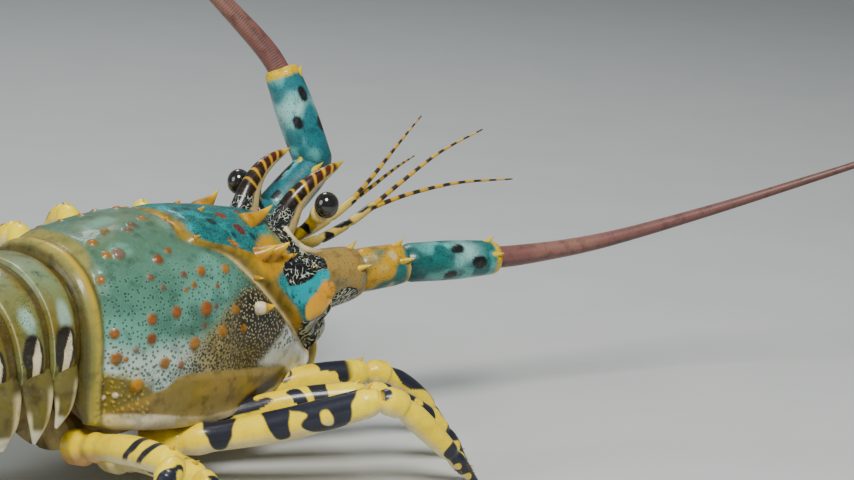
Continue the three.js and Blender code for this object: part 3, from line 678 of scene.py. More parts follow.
def cheek_paint(skin, where=1.0):
    """The patches ahead of the groove, shared by the shell, antenna base and mouth plate."""
    x, _, z = skin.points.T
    wobble = 1.6 * (skin.noise(4.0, 3) - 0.5)
    patches = ((SQUIGGLE_PATCH, 0.7), (CYAN_PATCH, 0.5), (ORANGE_PATCH, 0.6), (ZEBRA_PATCH, 0.7))
    squiggle, cyan, orange, zebra = (inside(x + wobble, z, outline, soft) * where
                                     for outline, soft in patches)
    skin.cover(CYAN, cyan)
    skin.cover(rgb(28, 52, 56), cyan * step(0.68, 0.74, skin.noise(1.5, 5)) * step(69, 64, z))
    skin.cover(ORANGE, orange)
    skin.cover(SPINE_YELLOW, orange * step(64, 55, z) * 0.5)
    squiggle = squiggle * (1 - cyan)
    zebra = zebra * (1 - orange) * (1 - cyan)
    skin.clear(np.max([squiggle, zebra, cyan, orange], axis=0))
    skin.marks[:, 2] += np.maximum(squiggle, 2 * zebra)


def corner_bumps():
    """Small round bumps of the olive rear corner, as (x, z, radius); the two pale ones come first."""
    draw = np.random.default_rng(21)
    bumps = [(7.2, 43.6, 1.1), (11.4, 44, 1.3), (17, 42.6, 0.8)]
    for _ in range(400):
        x, z, radius = draw.uniform(3, 25), draw.uniform(35, 53), draw.uniform(0.35, 0.85)
        thin_out = draw.uniform(0, 1) < 0.5 and x > 15
        if not thin_out and all(math.hypot(x - a, z - b) > radius + c + 0.35 for a, b, c in bumps):
            bumps.append((x, z, radius))
    return bumps


def bump_height(x, z, bumps):
    height = np.zeros(np.shape(x))
    for bx, bz, radius in bumps:
        height = np.maximum(height, radius * step(1.15 * radius, 0.3 * radius, np.hypot(x - bx, z - bz)))
    return height


def lobe_at(x, z):
    """How far a point of the flank is in the smooth ochre lobe, and in the cream rim below it."""
    top = np.interp(x, [7.7, 15.8, 24.2, 32.8, 38.5, 44.1, 56.7, 70.1, 83.3, 99],
                    [37.8, 39.6, 41.1, 43, 46.2, 46.7, 44.9, 42.9, 40.7, 37.2])
    bottom = np.interp(x, [6, 14, 27, 41.6, 55, 75, 97], [37.5, 36.5, 33.9, 30, 27.4, 27, 30.7])
    lobe = step(top + 0.6, top - 0.6, z) * step(bottom - 0.6, bottom + 0.6, z)
    rim = step(bottom + 0.6, bottom - 0.6, z) * step(3, 8, x) * step(108, 100, x)
    return lobe * step(5, 8, x) * step(100, 97.5, x), rim


def paint_flank(skin):
    """Teal with dark dots, a pale band low down, and brown and black towards the front."""
    x, _, z = skin.points.T
    large, small = skin.noise(14, 1), skin.noise(5, 2)
    skin.colour(TEAL)
    skin.cover(TEAL_FRONT, step(50, 80, x) * 0.8)
    skin.cover(TEAL_BACK, step(80, 96, z + 8 * (large - 0.5)))
    skin.cover(rgb(112, 122, 84), step(88, 99, z) * step(0.35, 0.7, large) * 0.6)
    # Pale aqua bands along the middle of the flank: partly the shell's own paler teal, partly a painted
    # highlight
    skin.cover(AQUA, hill(z, 63, 9) * step(62, 30, x) * (0.7 + 0.3 * small))
    skin.cover(AQUA, hill(z, 75, 7) * hill(x, 58, 18) * 0.6)
    skin.cover(TEAL_DARK, step(1.2, 0.5, np.hypot((x - 42) / 20, (z - 66.5) / 7)) * 0.75)
    skin.cover(TEAL_DARK, step(0.5, 0.78, large) * 0.4)
    skin.cover(AQUA, step(0.56, 0.8, skin.noise(9, 4)) * 0.45)
    edge = z + 5 * (large - 0.5) + 3 * (small - 0.5)
    pale = step(63, 54, edge) * step(62, 46, x) * step(2, 9, x)
    skin.cover(PALE_BAND, pale * 0.95)
    dark_top = np.interp(x, [28, 34.4, 43.4, 50.6, 60.9, 68.9, 84], [46, 50, 54.5, 59, 64.7, 70, 72])
    brown = step(dark_top + 5, dark_top - 3, edge) * step(32, 56, x + 4 * (small - 0.5))
    skin.cover(BROWN, brown * 0.85)
    skin.cover(rgb(176, 166, 126), brown * step(0.5, 0.8, skin.noise(4, 7)) * 0.6)
    skin.cover(rgb(74, 64, 44), brown * step(54, 74, x) * 0.8)
    black = inside(x + 6 * (small - 0.5), z, BLACK_ZONE, 7.0)
    skin.cover(rgb(22, 20, 16), black * 0.95)
    white = inside(x + 4 * (small - 0.5), z, WHITE_ZONE, 2.0)
    skin.cover(FRONT_WHITE, white)
    # Dots: sparse on the teal, close below and towards the front
    sparse = (0.56 + 0.2 * step(64, 50, edge)) * (1 - brown) * (1 - step(80, 95, z) * 0.9) * (1 - white)
    skin.mark(0, np.maximum(sparse, 0.95 * white * step(43, 48, z)))
    dense = 0.9 * brown + 0.4 * pale * step(58, 48, z) + 0.4 * step(60, 78, x) * (1 - brown)
    skin.mark(1, np.clip(dense, 0, 1) * (1 - white))
    skin.mark(3, np.maximum(step(0.2, 0.8, black), 0.5 * brown) * (1 - white))


def paint_lower_edge(skin):
    """The olive rear corner with its bumps, the ochre lobe and the cream rim along the skirt."""
    x, y, z = skin.points.T
    corner = inside(x, z + 2 * (skin.noise(5, 2) - 0.5), OLIVE_CORNER, 2.0)
    skin.cover(OLIVE, corner)
    skin.clear(0.8 * corner)
    lobe, rim = lobe_at(x, z)
    skin.cover(OCHRE, lobe)
    skin.cover(OCHRE_REAR, lobe * step(40, 8, x) * 0.9)
    skin.cover(rgb(150, 128, 74), lobe * hill(x, 55, 18) * hill(z, 40, 4) * 0.6)
    skin.cover(rgb(118, 106, 60), lobe * step(0.4, 0.7, skin.noise(4, 8, vec(0.35, 1, 1))) * 0.6)
    # Painted shade: a dark band across the lower front of the ochre lobe
    skin.cover(rgb(60, 46, 24), lobe * inside(x, z, LOBE_FRONT_SHADE, 1.0) * 0.9)
    skin.cover(CREAM, rim)
    skin.cover(rgb(226, 218, 196), rim * step(0.5, 0.7, skin.noise(6, 9)) * 0.7)
    skin.cover(rgb(120, 104, 66), rim * hill(x, 30, 18) * step(33, 28, z) * 0.7)
    skin.clear(np.maximum(lobe, rim))
    bumps = corner_bumps()
    outside = np.abs(y) > 20
    skin.cover(rgb(186, 166, 92), step(0.1, 0.35, bump_height(x, z, bumps) * outside))
    skin.cover(BONE, step(0.1, 0.4, bump_height(x, z, bumps[:2]) * outside))


def paint_rear_rim(skin):
    """The rim along the rear edge: a pale crest with a painted gold highlight high up along it, olive before
    and behind it.
    """
    x, _, z = skin.points.T
    rim_end = np.interp(z, [34, 60, 79, 85, 90, 94, 100], [6.0, 6.5, 7.5, 8.6, 9.8, 11, 12])
    rim = step(rim_end + 1.4, rim_end - 1.4, x)
    skin.cover(rgb(116, 116, 76), rim)
    skin.cover(rgb(150, 140, 92), rim * step(0.4, 0.7, skin.noise(3, 10, vec(1, 0.3, 0.3))) * 0.6)
    # Along the crest: a pale olive-gold that is partly its own colour and partly a soft painted highlight,
    # then a painted gold highlight where the crest runs high up
    skin.cover(rgb(178, 164, 96), rim * hill(x, 4.0, 1.5) * 0.8)
    skin.cover(rgb(196, 156, 40), rim * hill(x, 4.4, 0.7) * step(72, 84, z) * 0.8)
    skin.cover(rgb(74, 68, 38), rim * hill(x, 6.6, 0.8) * 0.6)
    skin.cover(rgb(66, 58, 32), rim * step(1.6, 0.2, x) * 0.8)
    skin.clear(rim)


# Single spots on top of the head: x, distance from the midline, radius and colour
HEAD_SPOTS = [
    (80, 11.7, 2.1, RED_SPOT), (82.7, 19.5, 2.4, rgb(92, 46, 44)), (71, 16, 2.2, rgb(26, 46, 48)),
    (77, 22.5, 1.4, rgb(26, 60, 62)), (87, 22, 1.3, rgb(24, 56, 62)), (74, 26, 1.9, rgb(176, 120, 40)),
    (92, 7, 1.6, RED_SPOT), (68, 5, 1.8, rgb(30, 58, 58)),
]


def paint_head(skin, ahead):
    """Colours ahead of the groove: turquoise with dark stipple, the yellow groove, the cheek patches."""
    x, y, z = skin.points.T
    large, small = skin.noise(12, 11), skin.noise(4.5, 12)
    there = step(-0.4, 0.6, ahead)
    skin.cover(TURQUOISE, there)
    skin.cover(TURQUOISE_LIGHT, there * step(0.5, 0.8, small) * 0.8)
    skin.cover(rgb(30, 74, 70), there * step(0.56, 0.76, skin.noise(3.2, 13)) * 0.55)
    skin.clear(there)
    skin.marks[:, 1] += 0.5 * there
    # The band in the groove, broad on the flank
    width = np.interp(z, [40, 47, 55, 62, 70, 78, 84, 92, 100], [1.4, 2.2, 3.8, 4.6, 5, 6, 7, 3.6, 2])
    reach = width * (0.85 + 0.4 * large)
    band = step(-1.6, -0.4, ahead) * step(reach + 0.8, reach - 0.8, ahead)
    skin.cover(GROOVE_YELLOW, band)
    skin.cover(rgb(96, 80, 42), band * step(0.5, 0.7, skin.noise(2.6, 14)) * 0.75)
    skin.cover(rgb(176, 140, 50), band * step(0.5, 0.8, skin.noise(7, 15)) * 0.7)
    skin.cover(rgb(206, 190, 150), band * hill(ahead, -0.4, 0.9) * step(92, 82, z))
    skin.clear(0.85 * band)
    # Gold round the cheek spines, olive behind the orbit
    gold = inside(x + 3 * (small - 0.5), z, GOLD_PATCH, 1.6) * (np.abs(y) > 14)
    skin.cover(rgb(190, 150, 10), gold * there)
    skin.cover(rgb(120, 130, 92), inside(x, z, OLIVE_PATCH, 1.5) * there * (np.abs(y) > 12) * 0.85)
    skin.clear(0.8 * gold)
    # Black and white at the foot of each horn and along the orbit
    foot = np.hypot(np.hypot(x - 110, (np.abs(y) - 14) * 0.9), (z - 87) * 0.9)
    along_orbit = inside(x + 1.5 * (small - 0.5), z, ORBIT_PATCH, 0.7) * (np.abs(y) > 12)
    dark = np.maximum(step(9.6, 8.0, foot + 2 * (small - 0.5)), along_orbit) * there
    skin.cover(INK, dark)
    skin.clear(dark)
    skin.marks[:, 2] += dark
    for spot_x, out, radius, tone in HEAD_SPOTS:
        away = np.hypot(x - spot_x, np.abs(y) - out) + 0.8 * (small - 0.5)
        skin.cover(tone, step(radius + 0.5, radius - 0.5, away) * there * (z > 70))
    cheek_paint(skin, step(0.2, 0.8, ahead))


def carapace_relief(x, girth, points, share, knobs):
    """How far the skin stands off the plain shell."""
    z = points[..., 2]
    # Rear rim, roll of the skirt and flare of the cheek
    height = 0.7 * hill(x, 3.6, 2.2) - 0.9 * step(1.2, 0, x)
    height += 0.5 * hill(girth, 0.965, 0.025) - 0.8 * step(0.985, 1, girth)
    height += 3.4 * step(100, 116, x) * step(50, 58, z) * step(80, 72, z) * step(0.3, 0.42, girth)
    # Crease over the lobe, uneven skin and the raised band ahead of the groove
    lobe_top = np.interp(x, [7.7, 24.2, 38.5, 44.1, 70.1, 99], [37.8, 41.1, 46.2, 46.7, 42.9, 37.2])
    height += 0.8 * step(lobe_top + 0.5, lobe_top - 3, z) * step(4, 10, x) * step(104, 96, x)
    height += 0.25 * (noise(points.reshape(-1, 3), 5, 20).reshape(x.shape) - 0.5)
    height += 1.2 * hill(past_groove(x, z), 5, 3) * step(96, 86, z) * step(40, 55, z)
    for centre, radius, _ in knobs:
        reach = np.linalg.norm(points - centre, axis=-1)
        height += 0.55 * radius * step(1.5 * radius, 0.5 * radius, reach)
    height += 0.75 * bump_height(x, z, corner_bumps()) * (girth > 0.5)
    return height + 0.9 * hill(share, 1, 0.012)


# The underside as [share of the half width, rise], and the front margin's roll as [forward, inset]
UNDERSIDE = ((0.985, 0.8), (0.93, 1.6), (0.7, 4.0), (0.4, 5.0), (0.0, 5.2))
FRONT_ROLL = ((0.5, 0.5), (0.8, 1.3), (0.6, 2.2), (-0.4, 2.8), (-3.0, 3.2), (-6.5, 3.4))


def close_shell(outer):
    """Adds the underside between the skirts, and rolls the front margin inwards to a recessed wall."""
    left, right = outer[:, -1], outer[:, 0]
    under = [left * vec(1, out, 1) + vec(0, 0, rise) for out, rise in UNDERSIDE]
    under += [right * vec(1, out, 1) + vec(0, 0, rise) for out, rise in UNDERSIDE[-2::-1]]
    rings = np.concatenate([outer, np.stack(under, 1)], axis=1)
    inward = unit((vec(0, 0, 62) - rings[-1]) * vec(0, 1, 1))
    lips = [rings[-1] + vec(forward, 0, 0) + inset * inward for forward, inset in FRONT_ROLL]
    return np.concatenate([rings, np.stack(lips)], axis=0)


def paint_knobs(skin, knobs):
    for centre, radius, redness in knobs:
        reach = np.linalg.norm(skin.points - centre, axis=-1)
        spot = step(1.35 * radius, 0.95 * radius, reach)
        fade = 0.95 - 0.3 * step(0.7, 1, redness)
        skin.cover(KNOB_GOLD * (1 - redness) + KNOB_RED * redness, spot * fade)
        # Painted highlight: a brighter gold in the middle of each golden knob
        skin.cover(rgb(196, 150, 0), spot * step(0.7 * radius, 0.2 * radius, reach) * (1 - redness) * 0.5)
        skin.clear(spot)


def paint_margins(skin, shape, rows, columns):
    """Cream along the front margin, brown underneath.

    The shape is that of all rings; rows and columns count those of the outside.
    """
    z = skin.points[:, 2]
    row = np.concatenate([np.repeat(np.arange(shape[0]), shape[1]), [0, shape[0]]])
    column = np.concatenate([np.tile(np.arange(shape[1]), shape[0]), [0, 0]])
    margin = 0.9 * step(rows - 4, rows - 1, row) * step(36, 44, z)
    skin.cover(np.where((z > 58)[:, None], rgb(214, 204, 172), rgb(196, 180, 150)), margin)
    skin.clear(margin)
    below = (column >= columns) | (row > rows + 2)
    skin.cover(rgb(120, 92, 58), below.astype(float))
    skin.marks[below] = 0


def carapace_spines():
    """The spines of both plates; the first, the large one of the flank, has a swollen white root."""
    thorns = []
    for number, (x, girth, length, radius, lean) in enumerate(THORAX_SPINES + HEAD_SPINES):
        for side in (RIGHT, LEFT):
            way = shell_normal(x, girth, side) + vec(lean, 0, 0)
            rows = BULB if number == 0 else THORN
            thorn = spine(shell_point(x, girth, side), way, length, radius, rows=rows)
            thorn.colour(SPINE_ORANGE)
            thorn.cover(SPINE_YELLOW, step(0.5, 0.95, thorn.along))
            if number == 0:
                thorn.cover(BONE, step(0.56, 0.46, thorn.along))
            thorns.append(thorn)
    return thorns


def orbit_rims():
    """The raised pale line round the front of each eye socket."""
    path = [(112, 11, 92), (110.8, 15.5, 87.5), (112, 18.5, 83.8), (115.5, 21, 80.3),
            (120, 22.8, 78.6), (125, 24.2, 78)]
    sections = [[0, 0.5, 0.5], [0.15, 1.1, 1.2], [0.5, 1.5, 1.4], [0.85, 1.3, 1.2], [1, 0.4, 0.4]]
    rims = []
    for side in (RIGHT, LEFT):
        rim = limb(mirrored(side, path), sections, 16, 60)
        rim.colour(rgb(216, 204, 168))
        rim.cover(rgb(150, 120, 76), step(0.6, 0.9, rim.along) * 0.6)
        rims.append(rim)
    return rims


def make_carapace():
    rows, columns = 190, 291
    signed = np.linspace(-1, 1, columns)
    share = np.concatenate([[0, 0.002], np.linspace(0.006, 1, rows - 2)])[:, None]
    x = share * eased(FRONT_MARGIN, np.abs(signed))[0]
    girth = np.broadcast_to(np.abs(signed), x.shape)
    side = np.broadcast_to(np.where(signed < 0, RIGHT, LEFT), x.shape)
    points = shell_point(x, girth, side)
    knobs = knob_list()
    relief = carapace_relief(x, girth, points, share, knobs)
    rings = close_shell(points + shell_normal(x, girth, side) * relief[..., None])
    skin = Skin(rings, ends=(rings[0].mean(0), vec(106, 0, 62)))
    # Laid flat by x, with the height behind the groove and the way round from the midline ahead of it
    walked = np.cumsum(np.linalg.norm(np.diff(rings, axis=1, prepend=rings[:, :1]), axis=2), axis=1)
    walked -= walked[:, columns // 2][:, None]
    ahead = past_groove(skin.points[:, 0], skin.points[:, 2])
    around = np.where(ahead < 0, skin.points[:, 2], np.concatenate([walked.ravel(), [0, 0]]))
    skin.flat = np.stack([skin.points[:, 0], around, 0 * around], -1)
    paint_flank(skin)
    paint_lower_edge(skin)
    paint_rear_rim(skin)
    paint_head(skin, ahead)
    paint_knobs(skin, knobs)
    paint_margins(skin, rings.shape, rows, columns)
    skins = [skin, *carapace_spines(), *orbit_rims()]
    make_piece("carapace", skins, shell, "shell", "thorax_shield", "head_shield")


make_carapace()


# Horns, eyes and face


def make_horn(side, name):
    """A curved horn: dark with thin yellow bands, cream along the front, its foot in a worm pattern."""
    path = [(108, 10.5, 80), (113, 11.5, 89), (117.5, 13, 97.5), (123.5, 14.6, 103.5), (131, 15.6, 107.6),
            (141.5, 15.6, 111.5)]
    sections = [[0, 4.4, 7], [0.2, 4.7, 6.8], [0.4, 4.1, 5], [0.58, 3.3, 3.8], [0.75, 2.5, 2.8],
                [0.9, 1.4, 1.6], [1, 0.1, 0.12]]
    skin = limb(mirrored(side, path), sections, 40, 110)
    share, turn = skin.along, skin.turn
    # turn 0 is the animal's left, a quarter turn is the front edge
    rear = -np.sin(turn)
    skin.colour(rgb(30, 17, 6))
    skin.cover(rgb(84, 36, 4), step(0.5, 0.85, share) * 0.8)
    wobble = 0.02 * (skin.noise(3, 31) - 0.5)
    band = np.zeros(len(share))
    for middle, width in ((0.42, 0.008), (0.52, 0.01), (0.62, 0.012), (0.72, 0.012), (0.81, 0.014)):
        tilt = middle + 0.04 * rear + wobble
        band = np.maximum(band, step(width + 0.006, width - 0.006, np.abs(share - tilt)))
    skin.cover(rgb(206, 166, 40), band)
    reach = 0.1 - 0.28 * step(0.8, 0.3, share) + 0.25 * (skin.noise(3.5, 32) - 0.5)
    front = step(reach, reach + 0.1, -rear)
    skin.cover(rgb(206, 188, 142), front * step(0.02, 0.2, share) * step(0.93, 0.8, share))
    skin.cover(SPINE_YELLOW, step(0.86, 0.93, share))
    foot = step(0.4, 0.26, share + 0.5 * wobble)
    skin.cover(INK, foot * (1 - front))
    skin.mark(2, foot * (1 - front))
    make_piece(name, [skin], horn_shell, "horn", name)


for side, word in SIDES:
    make_horn(side, "frontal_horn_" + word)


def ball(centre, radii, sides=56, rings=40):
    """A closed ellipsoid skin."""
    angles = np.linspace(0, math.pi, rings + 2)[1:-1]
    turn = np.linspace(0, 2 * math.pi, sides, endpoint=False)
    x = np.sin(angles)[:, None] * np.cos(turn) * radii[0]
    y = np.sin(angles)[:, None] * np.sin(turn) * radii[1]
    z = np.cos(angles)[:, None] * np.ones(sides) * radii[2]
    poles = (centre + vec(0, 0, radii[2]), centre - vec(0, 0, radii[2]))
    return Skin(np.stack([x, y, z], -1) + centre, angles / math.pi, turn, poles)


STALK_PATH = [(119, 5, 80), (124.5, 11, 83.5), (124.5, 18, 90), (123.5, 22, 94)]
STALK_SECTIONS = [[0, 3, 3], [0.4, 2.6, 2.6], [0.75, 2.9, 2.9], [0.93, 3.9, 3.9], [1, 3.7, 3.7]]

for side, word in SIDES:
    stalk = limb(mirrored(side, STALK_PATH), STALK_SECTIONS, 28, 60, (1, 0, 0))
    stalk.colour(rgb(196, 168, 84))
    streak = stalk.noise(3.2, 33, vec(0.6, 1, 1))
    stalk.cover(INK, step(0.5, 0.56, streak) * step(0.15, 0.35, stalk.along))
    stalk.cover(rgb(222, 200, 140), step(0.9, 0.97, stalk.along))
    make_piece("eyestalk_" + word, [stalk], leg, "leg", "eyestalk_" + word)
    eye = ball(vec(123, side * 25.5, 97.5), (5, 4.75, 5.4))
    make_piece("eye_" + word, [eye], eye_black, "eye", "eye_" + word)

brow = limb([(114, 0, 70), (122, 0, 70), (130, 0, 73)], [[0, 8, 12], [0.6, 7.5, 10.5], [1, 5.5, 6]], 40, 40)
brow.colour(BLUE)
brow.cover(rgb(150, 140, 96), step(0.45, 0.7, brow.noise(5, 41)))
brow.cover(INK, step(0.62, 0.68, brow.noise(2.6, 42)))
brow_skins = [brow]
# Spines of the face: root, direction, length and radius
BROW_SPINES = [(vec(127, 3.4, 77), vec(1, 0.15, 0.75), 6, 1.4),
               (vec(128, 3.2, 70), vec(1, 0.15, 0.35), 4.5, 1.1)]
for side, _ in SIDES:
    for root, way, length, radius in BROW_SPINES:
        thorn = spine(root * vec(1, side, 1), way * vec(1, side, 1), length, radius)
        brow_skins.append(thorn.colour(SPINE_YELLOW))
make_piece("antennular_plate", brow_skins, antenna_shell, "antenna", "antennular_plate")

mouth_sections = [[0, 25, 13], [0.5, 26.5, 13], [0.8, 22, 10.5], [1, 12, 6]]
mouth = limb([(108, 0, 47), (120, 0, 47), (134, 0, 45)], mouth_sections, 64, 60)
mouth.colour(rgb(150, 130, 96))
cheek_paint(mouth)
mouth_skins = [mouth]
for side, _ in SIDES:
    thorn = spine(vec(131, side * 11, 46), vec(1, side * 0.4, -0.1), 4.5, 1.6)
    mouth_skins.append(thorn.colour(SPINE_YELLOW))
make_piece("mouth_plate", mouth_skins, plate_shell, "shell", "mouth_plate")

jaw_sections = [[0, 7, 5], [0.5, 8.5, 6.5], [0.85, 6.5, 5], [1, 3, 2.5]]
jaw = limb([(106, 0, 33), (118, 0, 30), (128, 0, 32)], jaw_sections, 40, 40)
jaw.colour(rgb(190, 170, 130))
make_piece("jaws", [jaw], underside, "underside", "jaws")


def sternum_relief(share, angle):
    """Creases between the five pairs of legs and one along the middle, on the underside only."""
    creases = sum(hill(share, middle, 0.012) for middle in (0.1, 0.27, 0.44, 0.62, 0.8))
    below = step(0.2, 0.6, np.abs(np.sin(angle)))
    return -1.1 * creases * below - 0.9 * hill(np.cos(angle), 0, 0.06) * below * np.ones_like(share)


STERNUM_REAR, STERNUM_FRONT = 3, 106
STERNUM_ROWS = [[3, 20, 9], [30, 19, 9], [60, 16, 8.5], [90, 13, 8], [106, 10.5, 6.5]]
sternum_sections = [[(x - STERNUM_REAR) / (STERNUM_FRONT - STERNUM_REAR), wide, tall]
                    for x, wide, tall in STERNUM_ROWS]
sternum_path = [(STERNUM_REAR, 0, 26), (50, 0, 26), (STERNUM_FRONT, 0, 29)]
sternum = limb(sternum_path, sternum_sections, 90, 200, relief=sternum_relief)
sternum.colour(rgb(186, 168, 124))
sternum.cover(rgb(96, 84, 56), step(0.58, 0.64, sternum.noise(7, 43)) * 0.7)
sternum.cover(rgb(90, 66, 40), step(-0.3, -0.9, sternum_relief(sternum.along, sternum.turn)) * 0.6)
make_piece("sternum_plate", [sternum], underside, "underside", "sternum_plate")


# Antennae

ANTENNA_SECTIONS = {
    "base": [[0, 9.5, 12], [0.35, 10.5, 12.5], [0.75, 10, 11.5], [0.94, 9, 10], [1, 7.5, 8]],
    "middle": [[0, 6.5, 7], [0.2, 8.2, 9], [0.7, 8, 8.6], [0.92, 7.6, 8], [1, 6, 6.2]],
    "outer": [[0, 6, 6], [0.12, 8.4, 8], [0.5, 9, 8.2], [0.85, 8.2, 7.4], [0.96, 7.6, 7], [1, 6, 6]],
}
ANTENNA_ROUTES = {
    "right": ([(110, -19.5, 65), (141, -27, 68.5), (162, -33.5, 70), (205, -45, 68.5)],
              [(200, -43.7, 68.6), (214, -48, 68.5), (250, -62, 72), (296, -86, 84), (338, -119, 102),
               (374, -160, 124), (402, -208, 148)]),
    "left": ([(110, 19.5, 66), (138, 21, 83), (161, 20, 101), (153, 35, 141)],
             [(154, 34, 137), (149.5, 39, 147), (134, 50, 167), (104, 72, 203), (62, 103, 243),
              (8, 140, 280), (-54, 180, 311)]),
}
WHIP_ROWS = [[0, 1], [0.04, 1], [0.12, 0.86], [0.25, 0.67], [0.45, 0.47], [0.7, 0.29], [1, 0.13]]
ANTENNA_SPINE_ANGLES = (25, 90, 150)
WHIP_RINGS = 420
# Black spots of the outer joint: share of its length, and angle round it
OUTER_SPOTS = ((0.18, 0.5), (0.2, 1.7), (0.42, 2.6), (0.5, 4.0), (0.78, 1.1), (0.72, 3.2), (0.3, 5.3))


def make_antenna_joint(number, span, side, word):
    """One heavy joint with three spines round its end."""
    start, end = (vec(*point) for point in ANTENNA_ROUTES[word][0][number:number + 2])
    along = unit(end - start)
    # All but the first reach 3 mm back into the joint before
    first = start - (3 * along if number else 0)
    sections = ANTENNA_SECTIONS[span]
    skin = limb([first, (start + end) / 2, end], sections, 56, 80)
    _, wide, tall = sections[-2]
    outward = unit(vec(0, side, 0) - side * along[1] * along)
    top = np.cross(along, outward) * side
    top = -top if top[2] < 0 else top
    skin.colour(BLUE if word == "left" else rgb(44, 100, 98))
    skins = [skin]
    for angle in np.radians(ANTENNA_SPINE_ANGLES):
        across, up = math.cos(angle) * outward, math.sin(angle) * top
        root = end - 5 * along + 0.9 * (wide * across + tall * up)
        skins.append(spine(root, across + up + 1.3 * along, 6.5 - number, 1.9, 0).colour(SPINE_YELLOW))
    paint_antenna(skin, number, word)
    name = f"antenna_{span}_{word}"
    make_piece(name, skins, antenna_shell, "antenna", name)


def make_antenna_whip(word):
    route = Route(ANTENNA_ROUTES[word][1])
    share = np.linspace(0, 1, WHIP_RINGS)
    radius = 4.5 * profile(WHIP_ROWS, share)[0]
    skin = limb(route, np.stack([share, radius, radius], -1), 20, WHIP_RINGS, (0, 0, 1))
    skin.colour(rgb(118, 82, 78))
    skin.cover(rgb(144, 108, 96), step(0.4, 0.7, skin.noise(20, 51)) * 0.6)
    skin.cover(rgb(84, 58, 46), step(0.2, 0.9, skin.along) * 0.8)
    skin.mark(0, skin.along * route.length)
    skin.mark(1, np.maximum(hill(skin.turn, 1.2, 0.25), hill(skin.turn, 4.3, 0.25)) * 0.8)
    make_piece("antenna_whip_" + word, [skin], flagellum, "flagellum",
               "antenna_whip_near_" + word, "antenna_whip_far_" + word)


def paint_antenna(skin, number, word):
    """Turquoise with pale lumps; the right one's first two joints are brown and gold."""
    share = skin.along
    lump = skin.noise(6, 60 + number)
    if number == 0 and word == "right":
        skin.colour(rgb(150, 128, 84))
        skin.cover(rgb(110, 116, 96), step(0.4, 0.7, lump) * 0.8)
        cheek_paint(skin)
    elif number == 0:
        skin.cover(INK, step(0.68, 0.72, skin.noise(5, 64)))
    elif number == 1 and word == "right":
        skin.cover(rgb(186, 150, 70), step(0.3, 0.6, lump))
        skin.cover(rgb(196, 184, 150), step(0.6, 0.8, skin.noise(4, 65)) * 0.7)
    elif number == 1:
        # Pale turquoise lumps: partly the joint's own colour, partly a painted highlight
        skin.cover(rgb(120, 176, 176), step(0.5, 0.75, lump) * 0.9)
        skin.cover(INK, step(0.7, 0.73, skin.noise(5, 64)))
    else:
        skin.cover(rgb(120, 182, 178), step(0.5, 0.75, lump) * 0.8)
        skin.cover(rgb(168, 208, 204), hill(share, 0.62, 0.12) * step(0.35, 0.6, skin.noise(9, 67)) * 0.8)
        skin.cover(rgb(34, 66, 68), step(0.3, 0.05, share) * 0.6)
        for middle, level in OUTER_SPOTS:
            around = np.abs(np.angle(np.exp(1j * (skin.turn - level))))
            away = np.hypot((share - middle) / 0.075, around / 0.3) + 0.8 * (lump - 0.5)
            skin.cover(INK, step(1.15, 0.85, away))
        skin.cover(SPINE_YELLOW, step(0.9, 0.94, share))
    skin.mark(1, 0.5)


for side, word in SIDES:
    for number, span in enumerate(("base", "middle", "outer")):
        make_antenna_joint(number, span, side, word)
    make_antenna_whip(word)

STEM_PATH = [(124, 4, 75), (140, 5, 77), (156, 5.5, 81.5), (171, 6, 88)]
STEM_SECTIONS = [[0, 2.4, 2.4], [0.3, 2.3, 2.3], [0.34, 1.7, 1.7], [0.38, 2.1, 2.1], [0.64, 1.9, 1.9],
                 [0.68, 1.4, 1.4], [0.72, 1.8, 1.8], [1, 1.6, 1.6]]
ANTENNULE_PATHS = ([(168, 6, 86.5), (184, 8, 96), (204, 12, 108), (224, 18, 117)],
                   [(168, 6, 86.5), (186, 10, 91), (209, 18, 95), (233, 29, 96)])
ANTENNULE_SECTIONS = [[0, 1.1, 1.1], [0.3, 0.9, 0.9], [0.65, 0.65, 0.65], [1, 0.3, 0.3]]

for side, word in SIDES:
    stem = limb(mirrored(side, STEM_PATH), STEM_SECTIONS, 20, 70)
    stem.colour(rgb(206, 184, 116))
    stem.cover(INK, step(0.56, 0.6, stem.noise(4, 71, vec(0.6, 1, 1))))
    make_piece("antennule_stem_" + word, [stem], leg, "leg", "antennule_stem_" + word)
    whips = []
    for path in ANTENNULE_PATHS:
        whip = limb(mirrored(side, path), ANTENNULE_SECTIONS, 14, 120)
        whip.colour(rgb(196, 160, 84))
        whip.cover(rgb(52, 40, 30), step(-0.2, 0.4, np.sin(whip.along * 60)))
        whips.append(whip)
    make_piece("antennule_whips_" + word, whips, leg, "leg", "antennule_whips_" + word)


# Legs

